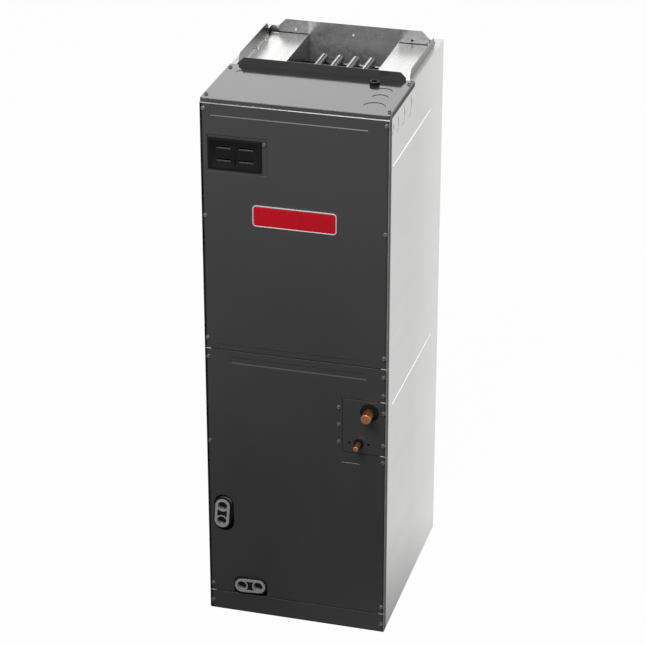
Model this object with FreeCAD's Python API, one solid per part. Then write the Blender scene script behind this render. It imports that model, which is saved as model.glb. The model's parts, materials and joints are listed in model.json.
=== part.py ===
import FreeCAD, Part
import math
import os

# An upright air handler: a sheet steel cabinet with an A-shaped coil, a blower and an electric heater.
# Lengths in millimetres. X runs to the right seen from the front, Y to the back, Z up.
# The origin is the middle of the cabinet's footprint, at the floor.

# Cabinet
WIDTH = 444.5             # across the side panels
DEPTH = 533.4             # front panel faces to the back
HEIGHT = 1357.3           # floor to the top cover
SHEET = 1.0               # gauge of the folded sheets
FIT = 0.2                 # gap between fixed pieces that seat against each other
CORNER = 4.0              # outside radius of the side panels' front bends
FRONT_LIP = 13.0          # side panel edge folded in behind the front panels
REAR_LIP = 20.0           # side panel edge folded in behind the back
TOP_LIP = 13.75           # side panel edge folded in along the top
BACK_TOP_LIP = 6.5        # back panel edge folded in along the top
BASE_LIP = 28.0           # height of the base pan's turned-up edges
RETURN_EDGE = (42.25, 61.7)   # floor left beside the return air opening: at the sides, front and back
LINER = 12.0              # thickness of the insulation

# Front panels
PANEL_INSET = 3.75        # side panel corner left showing beside each front panel
PANEL_GAP = 2.0           # gap between neighbouring front panels
PANEL_EDGE = 0.6          # rounding of the front edges
PANEL_RETURN = 9.0        # depth of the folded top and bottom edges
RETURN_CLEAR = 3.0        # those folds' distance from the side panel lips
FLOOR_GAP = 1.5           # filter panel's height off the floor
FILTER_PANEL_TOP = 50.0
LOWER_PANEL_TOP = 722.8
PRESS_SLOPE = 2.0         # width of a pressing's sloped edge
PRESS_DEPTH = 1.0         # depth of a pressing
PRESS_INSET = 28.5        # panel edge to the ends of the long pressings
TOP_STRIP = 29.5          # height of the upper panel's pressed top strip
TOP_STRIP_ENDS = (18.3, 45.1)     # its ends in from the panel's left and right edges
BOTTOM_STRIP = 14.5       # height of the upper panel's pressed bottom strip
GROOVE_DROP = 15.8        # lower panel's top edge to its groove
GROOVE_WIDTH = 17.0
GROOVE_ENDS = (58.5, 44.5)        # groove's ends in from the panel's left and right edges
DASH = (46.0, 3.0)        # length and width of the short pressing under the tubing panel
DASH_PLACE = (19.2, 28.8)     # its middle right of the tubing panel's left edge, and below that panel

# Top cover
COVER_DEPTH = 232.7       # front edge to the rear edge, where the front duct flange stands
COVER_LIP = 9.5           # depth of its turned-down edges
COVER_EDGE = 1.2          # rounding of its upper edges
COVER_GAP = 2.4           # gap over the upper panel
FLANGE_TOP = 18.9         # duct flanges' height above the cover
FLANGE_CHAMFER = 12.8     # cut corners of the front and side duct flanges
FRONT_FLANGE_INSET = 20.05    # cabinet's side to the front duct flange
RAIL_LEG = 14.0           # top front rail's horizontal leg
RAIL_CLEAR = 0.4          # rail's lower edge above the upper panel

# Knock-outs and beads
KNOCKOUT_DEPTH = 0.6
RIGHT_KNOCKOUTS = [(51.75, 149.7, 19.5), (50.25, 107.7, 19.5), (49.45, 49.7, 26.0)]   # in, back, radius
LEFT_KNOCKOUTS = [(39.25, 182.7, 11.0)]
SIDE_KNOCKOUTS = [(181.7, 45.3, 27.0), (120.7, 45.3, 23.0), (67.7, 45.3, 19.0), (25.7, 41.3, 13.0)]
UPPER_BEAD = (34.7, 126.7, 133.8)     # from the front, from the back, below the top
LOWER_BEAD = (54.7, 81.7, 604.0)      # from the front, from the back, above the floor
BEAD_RADIUS = 1.6         # bead's half width
BEAD_HEIGHT = 0.8         # how far a bead stands out

# Supply outlet
LEDGE_DROP = 15.3         # outlet ledges below the top of the cover
OUTLET_X = 112.5          # half width between the outlet walls
REAR_GAP = 10.7           # front face of the rear outlet wall to the cabinet's back
REAR_FLANGE_INSET = 33.85     # cabinet's side to the rear duct flange
REAR_CHAMFER = 17.4
REAR_HOLE_IN = 42.4       # outer screw holes in from the rear flange's ends
REAR_HOLE_DROP = 25.7     # and below its top
REAR_HOLE_R = 2.2
SIDE_FLANGE_CUT = (19.0, 28.0)    # side flanges' ends from the cover and from the rear wall

# Screws
SCREW_R = 2.1             # shank
SCREW_HOLE_GAP = 0.4      # hole past the shank
SCREW_LENGTH = 12.0
SCREW_CLEAR = 3.0         # insulation behind the screws' points
WASHER_R = 5.3
WASHER = 1.2
HEAD_FLAT = 7.0           # across the flats of the head
HEAD = 3.6
SCREW_INSET = 6.75        # panel screws to the cabinet's side
UPPER_SCREWS = (12.4, 277.4)   # upper panel screws below its top edge
UPPER_LOW_SCREW = 27.2         # and above its bottom edge
LOWER_SCREWS = (20.8, 248.8)   # lower panel screws below its top edge
LOWER_EXTRA_SCREW = 68.8       # the one more on the right
LOWER_LOW_SCREW = 18.7         # and above its bottom edge
FILTER_SCREW_DROP = 28.0       # filter panel screws below its top edge
COVER_SCREWS = (25.2, 209.2)   # cover screws back from its front edge
STRAP_GAP = 9.8                # strap screws to the tubing panel
STRAP_PITCH = 47.0

# Breaker cover and name plate
BREAKER_INSET = 12.0      # upper panel's left edge to the cover
BREAKER_DROP = 82.4       # upper panel's top edge to the cover
BREAKER_SIZE = (128.5, 77.0)
BREAKER_THICK = 4.2
BREAKER_RIM = 3.0         # width of the raised border
BREAKER_STEP = 1.2        # height of the border and the middle rib
SLOT = (35.0, 8.0)        # width and height of a breaker slot
SLOT_DEPTH = 3.2
SLOT_X = 27.0             # slot centres from the middle rib
SLOT_Z = 15.5             # slot centres from the middle of the cover
RECESS_DEPTH = 2.5
RECESS_MARGIN = (1.0, 6.0, 12.0)   # recess past the cover: left, below and above, right
BREAKER_SCREW = (6.0, 7.0)         # from the cover's upper right corner
BREAKER_LIP = 8.0         # cover's rest round the opening behind it
PLATE_SIZE = (202.0, 53.5)
PLATE_DROP = 238.9        # upper panel's top edge to the name plate
PLATE_THICK = 2.4
PLATE_CORNER = 9.0
PLATE_RIM = 3.2
PLATE_SINK = 0.8

# Tubing panel and lines
TUBING_INSET = 105.75     # cabinet's right side to the panel's left edge
TUBING_DROP = 88.3        # lower panel's top edge to the tubing panel
TUBING_HEIGHT = 142.2
TUBING_SCREW = 28.0       # screws in from its upper and lower edges
SUCTION_PLACE = (40.75, 29.5)     # in from the cabinet's side, below the tubing panel's top
SUCTION_R = 12.1          # end sized for a 7/8 inch line
SUCTION_OUT = 38.0        # stub's length in front of the panel
SUCTION_BEND = 21.45      # radius of its bend inside
LIQUID_PLACE = (66.25, 26.5)      # in from the cabinet's side, above the tubing panel's bottom
LIQUID_R = 6.35
LIQUID_OUT = 32.0
LIQUID_BEND = 15.875
TUBE_WALL = 1.2
STUB_STEP = 1.0           # stubs' ends are swaged that much wider than the lines behind them
STUB_ROUND = 1.5          # radius round their closed tips
STUB_CLEAR = 0.5          # sized ends' distance from the grommets
LINE_GAP = 0.4            # room between a line and its grommet
SUCTION_GROMMET = (6.9, 3.5)      # panel hole past the line, grommet flange past the hole
LIQUID_GROMMET = (3.65, 2.2)
GROMMET_FACE = 3.5
GROMMET_BACK = 3.0
SMALL_HOLE_X = 23.5       # small holes on both sides of the liquid line
SMALL_HOLE_R = 2.4
STRAP_EDGE = 16.0         # frame left showing behind the panel joint
HEADER_BACK = 36.7        # plane of the suction header behind the panel faces
LIQUID_BACK = 63.7        # plane of the liquid line behind the panel faces
LEG_R = 5.5               # suction legs
LEG_BEND = 16.5
TEE_STEP = 0.5            # the legs' branches are that much thinner
FEEDER_R = 2.4
FEEDER_PITCH = 4.8        # feeders side by side under the distributor
FEEDER_STEP = 9.6         # and one above the other where they run across
FEEDER_BEND = 4.8
FEEDER_DROP = 22.0        # distributor to the first feeder's turn
VALVE_DROP = 88.8         # liquid stub to the expansion valve
VALVE_R = 15.0
VALVE_LENGTH = 42.0
VALVE_HEAD = (13.5, 7.5)  # power head's radius and thickness
VALVE_NECK = (7.5, 30.0)  # its neck's radius and length
CONE_R = 11.0
CONE_TIP = 5.5
CONE_LENGTH = 30.0

# Drains
PORT_R = 12.0             # threaded drain port
PORT_DEPTH = 24.0
FITTING_WALL = 6.5        # fitting's wall round a port
FITTING_SPACING = 41.3
FITTING_OUT = 6.0         # fitting's length in front of the panel
WEEP_STEP = 4.5           # step from the port to the hole behind it
SIDE_PLACE = (21.75, 276.7)       # side fitting in from the insulation, above the floor
LOW_PLACE = (103.45, 23.0)        # low fitting in from the cabinet's side, above its pan's underside
SIDE_TILT = 86.0          # the side pair stands nearly upright
LOW_TILT = 3.5
SIDE_CUT_MARGIN = (6.5, 10.85)    # lower panel's opening past the side fitting: across, along
SIDE_CUT_SHIFT = 3.5      # and its middle right of the fitting's
LOW_CUT_MARGIN = 3.0
PAN_RAIL_Z = 55.0         # coil rails' shelf
PAN_RAIL_LEG = 36.0
PAN_HEIGHT = 45.0
PAN_WALL = 3.0
PAN_GAP = 5.25            # upflow pan's sides to the insulation
PAN_ENDS = (34.7, 28.7)   # its ends from the cabinet's front and back
PAN_TROUGH = (92.0, 72.0, 58.0)   # its width beside its air opening: sides, front, back
PAN_INNER = 30.0          # height of the wall round the opening
SIDE_PAN_DEPTH = 34.0
SIDE_PAN_ENDS = (17.0, 33.0)      # side pan's ends in from the upflow pan's
SIDE_PAN_TOP = 640.0

# Coil
SLAB_THICK = 58.0
SLAB_LENGTH = 520.0
SLAB_OVER = 10.0          # slabs past the ends of the pan's opening
SLAB_TOP_X = 36.0         # slab's middle at the top
SLAB_IN = 9.5             # slab's foot from the pan's inner wall
FIN = 0.8
FIN_PITCH = 6.0
FIN_WEB = 2.0
END_PLATE = 1.5
TUBE_R = 4.76
TUBE_PITCH = 25.4
TUBE_ROW = 28.0
TUBE_FOOT = 18.0          # lowest tube above the slab's foot
FED_PAIRS = {2: 1, 7: 0}  # inner row pairs joined to the lines, and which tube of each takes the feeder

# Filter
FILTER_SIDE = 24.25       # cabinet's inside to the filter
FILTER_ENDS = (12.7, 25.7)    # filter's ends from the cabinet's front and back
FILTER_LIFT = 10.0        # filter's height off the floor
FILTER_THICK = 19.0
FILTER_BORDER = 16.0
FILTER_CLEAR = 0.6
FILTER_RAIL = 13.0
PLEATS = 14
MEDIA = 1.6

# Blower
DECK_DROP = 157.3         # cabinet's top to the underside of the deck
DECK_FRONT = 10.7         # deck's front edge behind the panel faces
BLOWER_DROP = 215.0       # shaft below the deck
WHEEL_R = 127.0
WHEEL_BAND = 23.0         # depth of the blade ring
WHEEL_GAP = 12.5          # wheel's ends to the blower's side plates
WHEEL_RING = 3.0
WHEEL_DISC = 2.0
HUB_R = 19.0
HUB_X = 18.0
BLADES = 36
BLADE = 1.2
BLADE_SWEEP = 7.0         # degrees a blade leans forward
SCROLL_GAP = 13.0         # wheel to the scroll's cut-off
SCROLL_STEP = 22.0        # growth of the scroll in each quarter turn
SEAM = 6.0                # blower side plates past the scroll
INLET_STEP = 2.0          # inlet's rim inside the blade ring
SHAFT_R = 6.35
SHAFT_GAP = 0.05
SHAFT_END = 9.5           # shaft past the hub
MOTOR_R = 70.0
MOTOR_IN = 12.0           # hub to the motor
MOTOR_OUT = 27.5          # motor past the blower's side plate
MOTOR_CAP = 7.0           # motor end thickness
BORE_GAP = 0.6            # rotor core to the stator
CORE_R = 45.0
CORE_END = 12.0           # rotor core to the motor ends
BAND = 2.5
BAND_X = 18.0             # width of the belly band
BAND_GAP = 0.1
ARM = (24.0, 4.0)         # motor arm width and thickness
ARM_OVER = 14.0           # motor arm past the inlet
MODULE_LENGTH = 36.0
MODULE_STEP = 4.0         # electronics housing inside the motor's radius

# Heater and controls
HEATER_PITCH = 39.4
HEATER_DROP = 50.3        # heater tubes below the cabinet's top
HEATER_R = 9.0
HEATER_ENDS = (18.0, 49.0)    # tubes' ends in front of the heater plate and from the rear wall
HEATER_TIP = 2.5          # rounding of a heater tube's end
HEATER_PLATE_SIDE = 17.5  # heater plate past the outlet
BUSH_GAP = 0.3
BUSH_WALL = 2.7
BUSH_RIM = 3.0            # bushing's flange past its neck
BUSH_FACE = 4.0
HEATER_ROD_R = 3.0
HEATER_ROD_IN = (74.0, 9.0)   # rods from the heater plate and from the tubes' rear ends
BUSHING_PLACE = (83.25, 46.0)     # wire bushing in from the cabinet's side, in front of the duct flange
BUSHING_NECK = 10.0
BUSHING_LIP = 1.8         # its head past its neck
BUSHING_WALL = 2.2
BUSHING_UP = 8.5
BUSHING_DOWN = 6.0
BUSHING_EDGE = 1.5
BRACKET_INSET = (18.25, 32.25)    # control bracket's ends from the cabinet's left and right
BRACKET_BACK = 70.7       # its face behind the panel faces
BRACKET_DROP = 27.3       # its top below the cabinet's
BRACKET_FOOT = 24.0
BOARD_SIZE = (120.0, 100.0)
BOARD_IN = 110.0          # board in from the bracket's right end
BOARD_LIFT = 14.0         # and above the deck
BOARD = 1.6
STANDOFF = 8.0
POST_R = 4.0
POST_IN = 8.0             # posts in from the board's edges
TERMINALS = (16.0, 16.0, 16.0)    # terminal strip in from the board's ends, its height and depth
RELAY = (28.0, 28.0, 24.0)
RELAY_IN = (16.0, 20.0)   # relays in from the board's left and right
RELAY_DROP = 16.0
TRANSFORMER_SIZE = (65.0, 45.0, 60.0)
TRANSFORMER_IN = 20.0     # in from the bracket's right end
TRANSFORMER_LIFT = 24.0   # and above the deck
BOBBIN_IN = 13.0          # bobbin inside the core's edges, and out of its face
BREAKER_BLOCK_IN = (10.5, 10.0, 20.0, 11.0)   # breakers inside their cover: left, right, below, above
BREAKER_BLOCK_BACK = 12.7     # their faces behind the panel faces

# Planes that follow from the sizes above
SIDE_X = WIDTH / 2
SIDE_IN = SIDE_X - SHEET
FRONT_Y = -DEPTH / 2
LIP_Y = FRONT_Y + SHEET
INNER_Y = LIP_Y + SHEET
BACK_Y = DEPTH / 2
BACK_IN = BACK_Y - 2 * SHEET
TOP_IN = HEIGHT - SHEET
LIP_X = SIDE_X - FRONT_LIP
PANEL_X = SIDE_X - PANEL_INSET
FOLD_X = LIP_X - RETURN_CLEAR
PRESS_X = PANEL_X - PRESS_INSET
LINER_X = SIDE_IN - LINER
COVER_END_Y = FRONT_Y + COVER_DEPTH
REAR_WALL_Y = BACK_Y - REAR_GAP
LEDGE_Z = HEIGHT - LEDGE_DROP
FLANGE_Z = HEIGHT + FLANGE_TOP
FLANGE_X = SIDE_X - TOP_LIP - FIT
DECK_Z = HEIGHT - DECK_DROP
DECK_TOP = DECK_Z + SHEET
PAN_Z = PAN_RAIL_Z + SHEET
PAN_FLOOR = PAN_Z + PAN_WALL

# Spans and places on the front
FILTER_PANEL = (FLOOR_GAP, FILTER_PANEL_TOP)
LOWER_PANEL = (FILTER_PANEL_TOP + PANEL_GAP, LOWER_PANEL_TOP)
UPPER_PANEL = (LOWER_PANEL_TOP + PANEL_GAP, HEIGHT - COVER_LIP - COVER_GAP)
BREAKER_X = (BREAKER_INSET - PANEL_X, BREAKER_INSET - PANEL_X + BREAKER_SIZE[0])
BREAKER_TOP = UPPER_PANEL[1] - BREAKER_DROP
BREAKER_Z = (BREAKER_TOP - BREAKER_SIZE[1], BREAKER_TOP)
PLATE_X = PLATE_SIZE[0] / 2
PLATE_TOP = UPPER_PANEL[1] - PLATE_DROP
PLATE_Z = (PLATE_TOP - PLATE_SIZE[1], PLATE_TOP)
TUBING_LEFT = SIDE_X - TUBING_INSET
TUBING_TOP = LOWER_PANEL_TOP - TUBING_DROP
TUBING_Z = (TUBING_TOP - TUBING_HEIGHT, TUBING_TOP)
SUCTION_X = SIDE_X - SUCTION_PLACE[0]
SUCTION_Z = TUBING_Z[1] - SUCTION_PLACE[1]
LIQUID_X = SIDE_X - LIQUID_PLACE[0]
LIQUID_Z = TUBING_Z[0] + LIQUID_PLACE[1]
DASH_X = TUBING_LEFT + DASH_PLACE[0]
DASH_Z = TUBING_Z[0] - DASH_PLACE[1]
FITTING_R = PORT_R + FITTING_WALL
WEEP_R = PORT_R - WEEP_STEP
SIDE_FITTING = (SIDE_PLACE[0] - LINER_X, SIDE_PLACE[1])
LOW_FITTING = (LOW_PLACE[0] - SIDE_X, PAN_Z + LOW_PLACE[1])
SCREW_HOLE_R = SCREW_R + SCREW_HOLE_GAP
SCREW_X = SIDE_X - SCREW_INSET
STRAP_SCREW_X = TUBING_LEFT - STRAP_GAP
STRAP_Z = [sum(TUBING_Z) / 2 + step * STRAP_PITCH for step in (-1, 0, 1)]
TUBING_SCREW_Z = [TUBING_Z[0] + TUBING_SCREW, TUBING_Z[1] - TUBING_SCREW]
UPPER_SCREW_Z = [UPPER_PANEL[1] - drop for drop in UPPER_SCREWS] + [UPPER_PANEL[0] + UPPER_LOW_SCREW]
LOWER_SCREW_Z = [LOWER_PANEL[1] - drop for drop in LOWER_SCREWS] + [LOWER_PANEL[0] + LOWER_LOW_SCREW]
LOWER_EXTRA_Z = LOWER_PANEL[1] - LOWER_EXTRA_SCREW
FILTER_SCREW_Z = FILTER_PANEL_TOP - FILTER_SCREW_DROP
COVER_SCREW_Y = [FRONT_Y + back for back in COVER_SCREWS]

# Spans and places inside
RETURN_X = SIDE_X - RETURN_EDGE[0]
RETURN_Y = BACK_Y - RETURN_EDGE[1]
HEADER_Y = FRONT_Y + HEADER_BACK
LIQUID_Y = FRONT_Y + LIQUID_BACK
TEE_R = LEG_R - TEE_STEP
VALVE_TOP = LIQUID_Z - VALVE_DROP
PAN_X = LINER_X - PAN_GAP
PAN_Y = (FRONT_Y + PAN_ENDS[0], BACK_Y - PAN_ENDS[1])
PAN_OPEN_X = PAN_X - PAN_TROUGH[0]
PAN_OPEN_Y = (PAN_Y[0] + PAN_TROUGH[1], PAN_Y[1] - PAN_TROUGH[2])
SIDE_PAN_Y = (PAN_Y[0] + SIDE_PAN_ENDS[0], PAN_Y[1] - SIDE_PAN_ENDS[1])
SLAB_Y = (PAN_OPEN_Y[0] - SLAB_OVER, PAN_OPEN_Y[1] + SLAB_OVER)
TUBE_PAIRS = int(((SLAB_LENGTH - 2 * TUBE_FOOT) / TUBE_PITCH + 1) / 2)
FILTER_X = SIDE_IN - FILTER_SIDE
FILTER_Y = (FRONT_Y + FILTER_ENDS[0], BACK_Y - FILTER_ENDS[1])
FILTER_Z = (FILTER_LIFT, FILTER_LIFT + FILTER_THICK)
DECK_FRONT_Y = FRONT_Y + DECK_FRONT
SCROLL_R = WHEEL_R + SCROLL_GAP
AXIS_Y = REAR_WALL_Y - SCROLL_R - 3 * SCROLL_STEP
AXIS_Z = DECK_Z - BLOWER_DROP
WHEEL_IN = WHEEL_R - WHEEL_BAND
WHEEL_X = OUTLET_X - WHEEL_GAP
INLET_R = WHEEL_IN - INLET_STEP
MOTOR_X = (HUB_X + MOTOR_IN, OUTLET_X + MOTOR_OUT)
MODULE_R = MOTOR_R - MODULE_STEP
FRONT_FLANGE_X = SIDE_X - FRONT_FLANGE_INSET
REAR_FLANGE_X = SIDE_X - REAR_FLANGE_INSET
REAR_HOLE_X = REAR_FLANGE_X - REAR_HOLE_IN
SIDE_FLANGE_Y = (COVER_END_Y + SIDE_FLANGE_CUT[0], REAR_WALL_Y - SIDE_FLANGE_CUT[1])
HEATER_X = [(i - 1.5) * HEATER_PITCH for i in range(4)]
HEATER_Y = (COVER_END_Y - HEATER_ENDS[0], REAR_WALL_Y - HEATER_ENDS[1])
HEATER_Z = HEIGHT - HEATER_DROP
HEATER_ROD_Y = (COVER_END_Y + HEATER_ROD_IN[0], HEATER_Y[1] - HEATER_ROD_IN[1])
HEATER_PLATE_X = OUTLET_X + HEATER_PLATE_SIDE
BUSH_R = HEATER_R + BUSH_GAP + BUSH_WALL
BUSHING_X = SIDE_X - BUSHING_PLACE[0]
BUSHING_Y = COVER_END_Y - BUSHING_PLACE[1]
BRACKET_X = (BRACKET_INSET[0] - SIDE_X, SIDE_X - BRACKET_INSET[1])
BRACKET_Y = FRONT_Y + BRACKET_BACK
BRACKET_Z = HEIGHT - BRACKET_DROP
BOARD_X = (BRACKET_X[1] - BOARD_IN - BOARD_SIZE[0], BRACKET_X[1] - BOARD_IN)
BOARD_Z = (DECK_TOP + BOARD_LIFT, DECK_TOP + BOARD_LIFT + BOARD_SIZE[1])
TRANSFORMER_X = (BRACKET_X[1] - TRANSFORMER_IN - TRANSFORMER_SIZE[0], BRACKET_X[1] - TRANSFORMER_IN)
TRANSFORMER_Z = (DECK_TOP + TRANSFORMER_LIFT, DECK_TOP + TRANSFORMER_LIFT + TRANSFORMER_SIZE[2])
BREAKER_BLOCK_X = (BREAKER_X[0] + BREAKER_BLOCK_IN[0], BREAKER_X[1] - BREAKER_BLOCK_IN[1])
BREAKER_BLOCK_Z = (BREAKER_Z[0] + BREAKER_BLOCK_IN[2], BREAKER_Z[1] - BREAKER_BLOCK_IN[3])
BREAKER_BLOCK_Y = FRONT_Y + BREAKER_BLOCK_BACK

RIGHT = FreeCAD.Vector(1, 0, 0)
OUT = (0, -1, 0)
BACK = (0, 1, 0)
UP = (0, 0, 1)
ACROSS = (1, 0, 0)


def vec(point):
    """A vector from three numbers."""
    return FreeCAD.Vector(*point)


def block(x, y, z):
    """A box given by its span along each axis."""
    return Part.makeBox(x[1] - x[0], y[1] - y[0], z[1] - z[0], FreeCAD.Vector(x[0], y[0], z[0]))


def rod(start, direction, radius, length):
    """A round bar from its start point."""
    return Part.makeCylinder(radius, length, vec(start), vec(direction))


def join(shapes):
    """One solid out of several that touch."""
    return shapes[0].multiFuse(shapes[1:]).removeSplitter()


def mirrored(shape):
    """The same piece for the other side of the cabinet."""
    return shape.mirror(vec((0, 0, 0)), RIGHT)


def corner_edges(points, radii, closed):
    """Straight edges through points, with an arc of its radius at each corner."""
    count = len(points)
    trims = []
    for i, point in enumerate(points):
        loose_end = not closed and i in (0, count - 1)
        if radii[i] == 0 or loose_end:
            trims.append((point, None, point))
            continue
        before = (points[i - 1] - point).normalize()
        after = (points[(i + 1) % count] - point).normalize()
        half = before.getAngle(after) / 2
        inward = (before + after).normalize()
        centre = point + inward * (radii[i] / math.sin(half))
        reach = radii[i] / math.tan(half)
        trims.append((point + before * reach, centre - inward * radii[i], point + after * reach))
    edges = []
    for i, (start, middle, end) in enumerate(trims):
        if middle is not None:
            edges.append(Part.Arc(start, middle, end).toShape())
        if i + 1 < count or closed:
            following = trims[(i + 1) % count][0]
            if end.distanceToPoint(following) > 1e-6:
                edges.append(Part.makeLine(end, following))
    return edges


def plate(points, along, radius=0.0):
    """A flat outline swept along a vector; its corners have one radius, or a list of one each."""
    radii = radius if isinstance(radius, list) else [radius] * len(points)
    wire = Part.Wire(corner_edges([vec(p) for p in points], radii, True))
    return Part.Face(wire).extrude(vec(along))


def pipe(points, radius, bend):
    """A round bar along a path with bent corners."""
    knots = [vec(p) for p in points]
    path = Part.Wire(corner_edges(knots, [bend] * len(knots), False))
    profile = Part.Wire(Part.makeCircle(radius, knots[0], knots[1] - knots[0]))
    return path.makePipeShell([profile], True, False)


def oblong(centre, length, width, angle, y_span):
    """A bar with round ends lying along Y, its long way turned from X towards Z by an angle."""
    half = (length - width) / 2
    body = block((-half, half), y_span, (-width / 2, width / 2))
    ends = [rod((x, y_span[0], 0), BACK, width / 2, y_span[1] - y_span[0]) for x in (-half, half)]
    shape = join([body] + ends)
    shape.rotate(vec((0, 0, 0)), vec(BACK), -angle)
    shape.translate(FreeCAD.Vector(centre[0], 0, centre[1]))
    return shape


def screw(point, outward):
    """A washer-faced hexagon screw seated at a point, its head pointing outward."""
    washer = rod((0, 0, 0), UP, WASHER_R, WASHER)
    corner = HEAD_FLAT / math.sqrt(3)
    turns = [math.radians(60 * i) for i in range(6)]
    head = plate([(corner * math.cos(a), corner * math.sin(a), WASHER) for a in turns], (0, 0, HEAD))
    shank = rod((0, 0, -SCREW_LENGTH), UP, SCREW_R, SCREW_LENGTH)
    shape = join([washer, head, shank])
    shape.Placement = FreeCAD.Placement(vec(point), FreeCAD.Rotation(vec(UP), vec(outward)))
    return shape


def screw_hole(point, outward):
    """The hole that a screw passes through, on both sides of its seat."""
    start = vec(point) - vec(outward) * SCREW_LENGTH
    return Part.makeCylinder(SCREW_HOLE_R, 2 * SCREW_LENGTH, start, vec(outward))


def front_points(xs, zs):
    """Places on the front panels' face."""
    return [(x, FRONT_Y, z) for x in xs for z in zs]


def drill(shape, points, outward):
    """A shape with screw holes through it."""
    return shape.cut([screw_hole(p, outward) for p in points])


def save(name, *solids):
    """Writes one named piece."""
    shape = solids[0] if len(solids) == 1 else Part.makeCompound(list(solids))
    shape.exportStep("parts/" + name + ".step")
    print(name, len(shape.Solids), "solids", round(shape.Volume / 1000.0, 1), "cm3")


UPPER_POINTS = front_points((-SCREW_X, SCREW_X), UPPER_SCREW_Z)
STRAP_POINTS = front_points((STRAP_SCREW_X,), STRAP_Z)
LOWER_POINTS = front_points((-SCREW_X, SCREW_X), LOWER_SCREW_Z) + front_points((SCREW_X,), (LOWER_EXTRA_Z,))
TUBING_POINTS = front_points((SCREW_X,), TUBING_SCREW_Z)
FILTER_POINTS = front_points((-SCREW_X, SCREW_X), (FILTER_SCREW_Z,))
EDGE_POINTS = UPPER_POINTS + LOWER_POINTS + TUBING_POINTS + FILTER_POINTS
BREAKER_POINT = (BREAKER_X[1] + BREAKER_SCREW[0], FRONT_Y + RECESS_DEPTH, BREAKER_Z[1] - BREAKER_SCREW[1])
COVER_POINTS = [(x, y, HEIGHT) for x in (-SCREW_X, SCREW_X) for y in COVER_SCREW_Y]


# Cabinet shell

def side_panel(side):
    """One side: a channel with rounded front bend, a top lip, beads and part-punched knock-outs."""
    section = [
        (LIP_X, LIP_Y, 0), (SIDE_X, LIP_Y, 0), (SIDE_X, BACK_Y, 0), (SIDE_X - REAR_LIP, BACK_Y, 0),
        (SIDE_X - REAR_LIP, BACK_Y - SHEET, 0), (SIDE_IN, BACK_Y - SHEET, 0), (SIDE_IN, INNER_Y, 0),
        (LIP_X, INNER_Y, 0),
    ]
    bends = [0, CORNER, 2 * SHEET, 0, 0, SHEET, CORNER - SHEET, 0]
    channel = plate(section, (0, 0, TOP_IN), bends)
    top_lip = block((SIDE_X - TOP_LIP, SIDE_IN + SHEET / 2), (INNER_Y + CORNER, BACK_IN - FIT),
                    (TOP_IN - SHEET, TOP_IN))
    beads = [bead(UPPER_BEAD, HEIGHT - UPPER_BEAD[2]), bead(LOWER_BEAD, LOWER_BEAD[2])]
    shape = join([channel, top_lip] + beads)
    x = SIDE_X - KNOCKOUT_DEPTH
    discs = [rod((x, FRONT_Y + back, HEIGHT - drop), ACROSS, r, SHEET) for back, drop, r in SIDE_KNOCKOUTS]
    shape = shape.cut(discs)
    if side < 0:
        shape = mirrored(shape)
    return drill(drill(shape, EDGE_POINTS, OUT), COVER_POINTS, UP)


def bead(ends, z):
    """A low stiffening bead along a side panel, given its ends' distances from the front and the back."""
    y0 = FRONT_Y + ends[0]
    y1 = BACK_Y - ends[1]
    ridge = [(SIDE_X, y0, z - BEAD_RADIUS), (SIDE_X + BEAD_HEIGHT, y0, z), (SIDE_X, y0, z + BEAD_RADIUS)]
    return plate(ridge, (0, y1 - y0, 0))


def back_panel():
    """The back sheet inside the rear lips, its top edge folded in."""
    sheet = block((-SIDE_IN + SHEET, SIDE_IN - SHEET), (BACK_IN, BACK_Y - SHEET), (0, TOP_IN))
    lip = block((-FLANGE_X, FLANGE_X), (BACK_IN - BACK_TOP_LIP, BACK_IN), (TOP_IN - SHEET, TOP_IN))
    return join([sheet, lip])


def base_pan():
    """The floor of the cabinet, with the return air opening and turned-up edges."""
    x = SIDE_IN - FIT
    y = (INNER_Y + FIT + CORNER, BACK_IN - FIT)
    floor = block((-x, x), y, (0, SHEET))
    right = block((x - SHEET, x), y, (0, BASE_LIP))
    rear = block((-x, x), (y[1] - SHEET, y[1]), (0, BASE_LIP))
    opening = block((-RETURN_X, RETURN_X), (-RETURN_Y, RETURN_Y), (-SHEET, 2 * SHEET))
    return join([floor, rear, right, mirrored(right)]).cut(opening)


def top_front_rail():
    """The galvanised rail that shows as a bright line under the top cover."""
    low = UPPER_PANEL[1] + RAIL_CLEAR
    high = TOP_IN - SHEET - FIT
    web = block((-SIDE_IN + CORNER, SIDE_IN - CORNER), (INNER_Y, INNER_Y + SHEET), (low, high))
    leg = block((-FLANGE_X, FLANGE_X), (INNER_Y, INNER_Y + RAIL_LEG), (high - SHEET, high))
    return join([web, leg])


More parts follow.
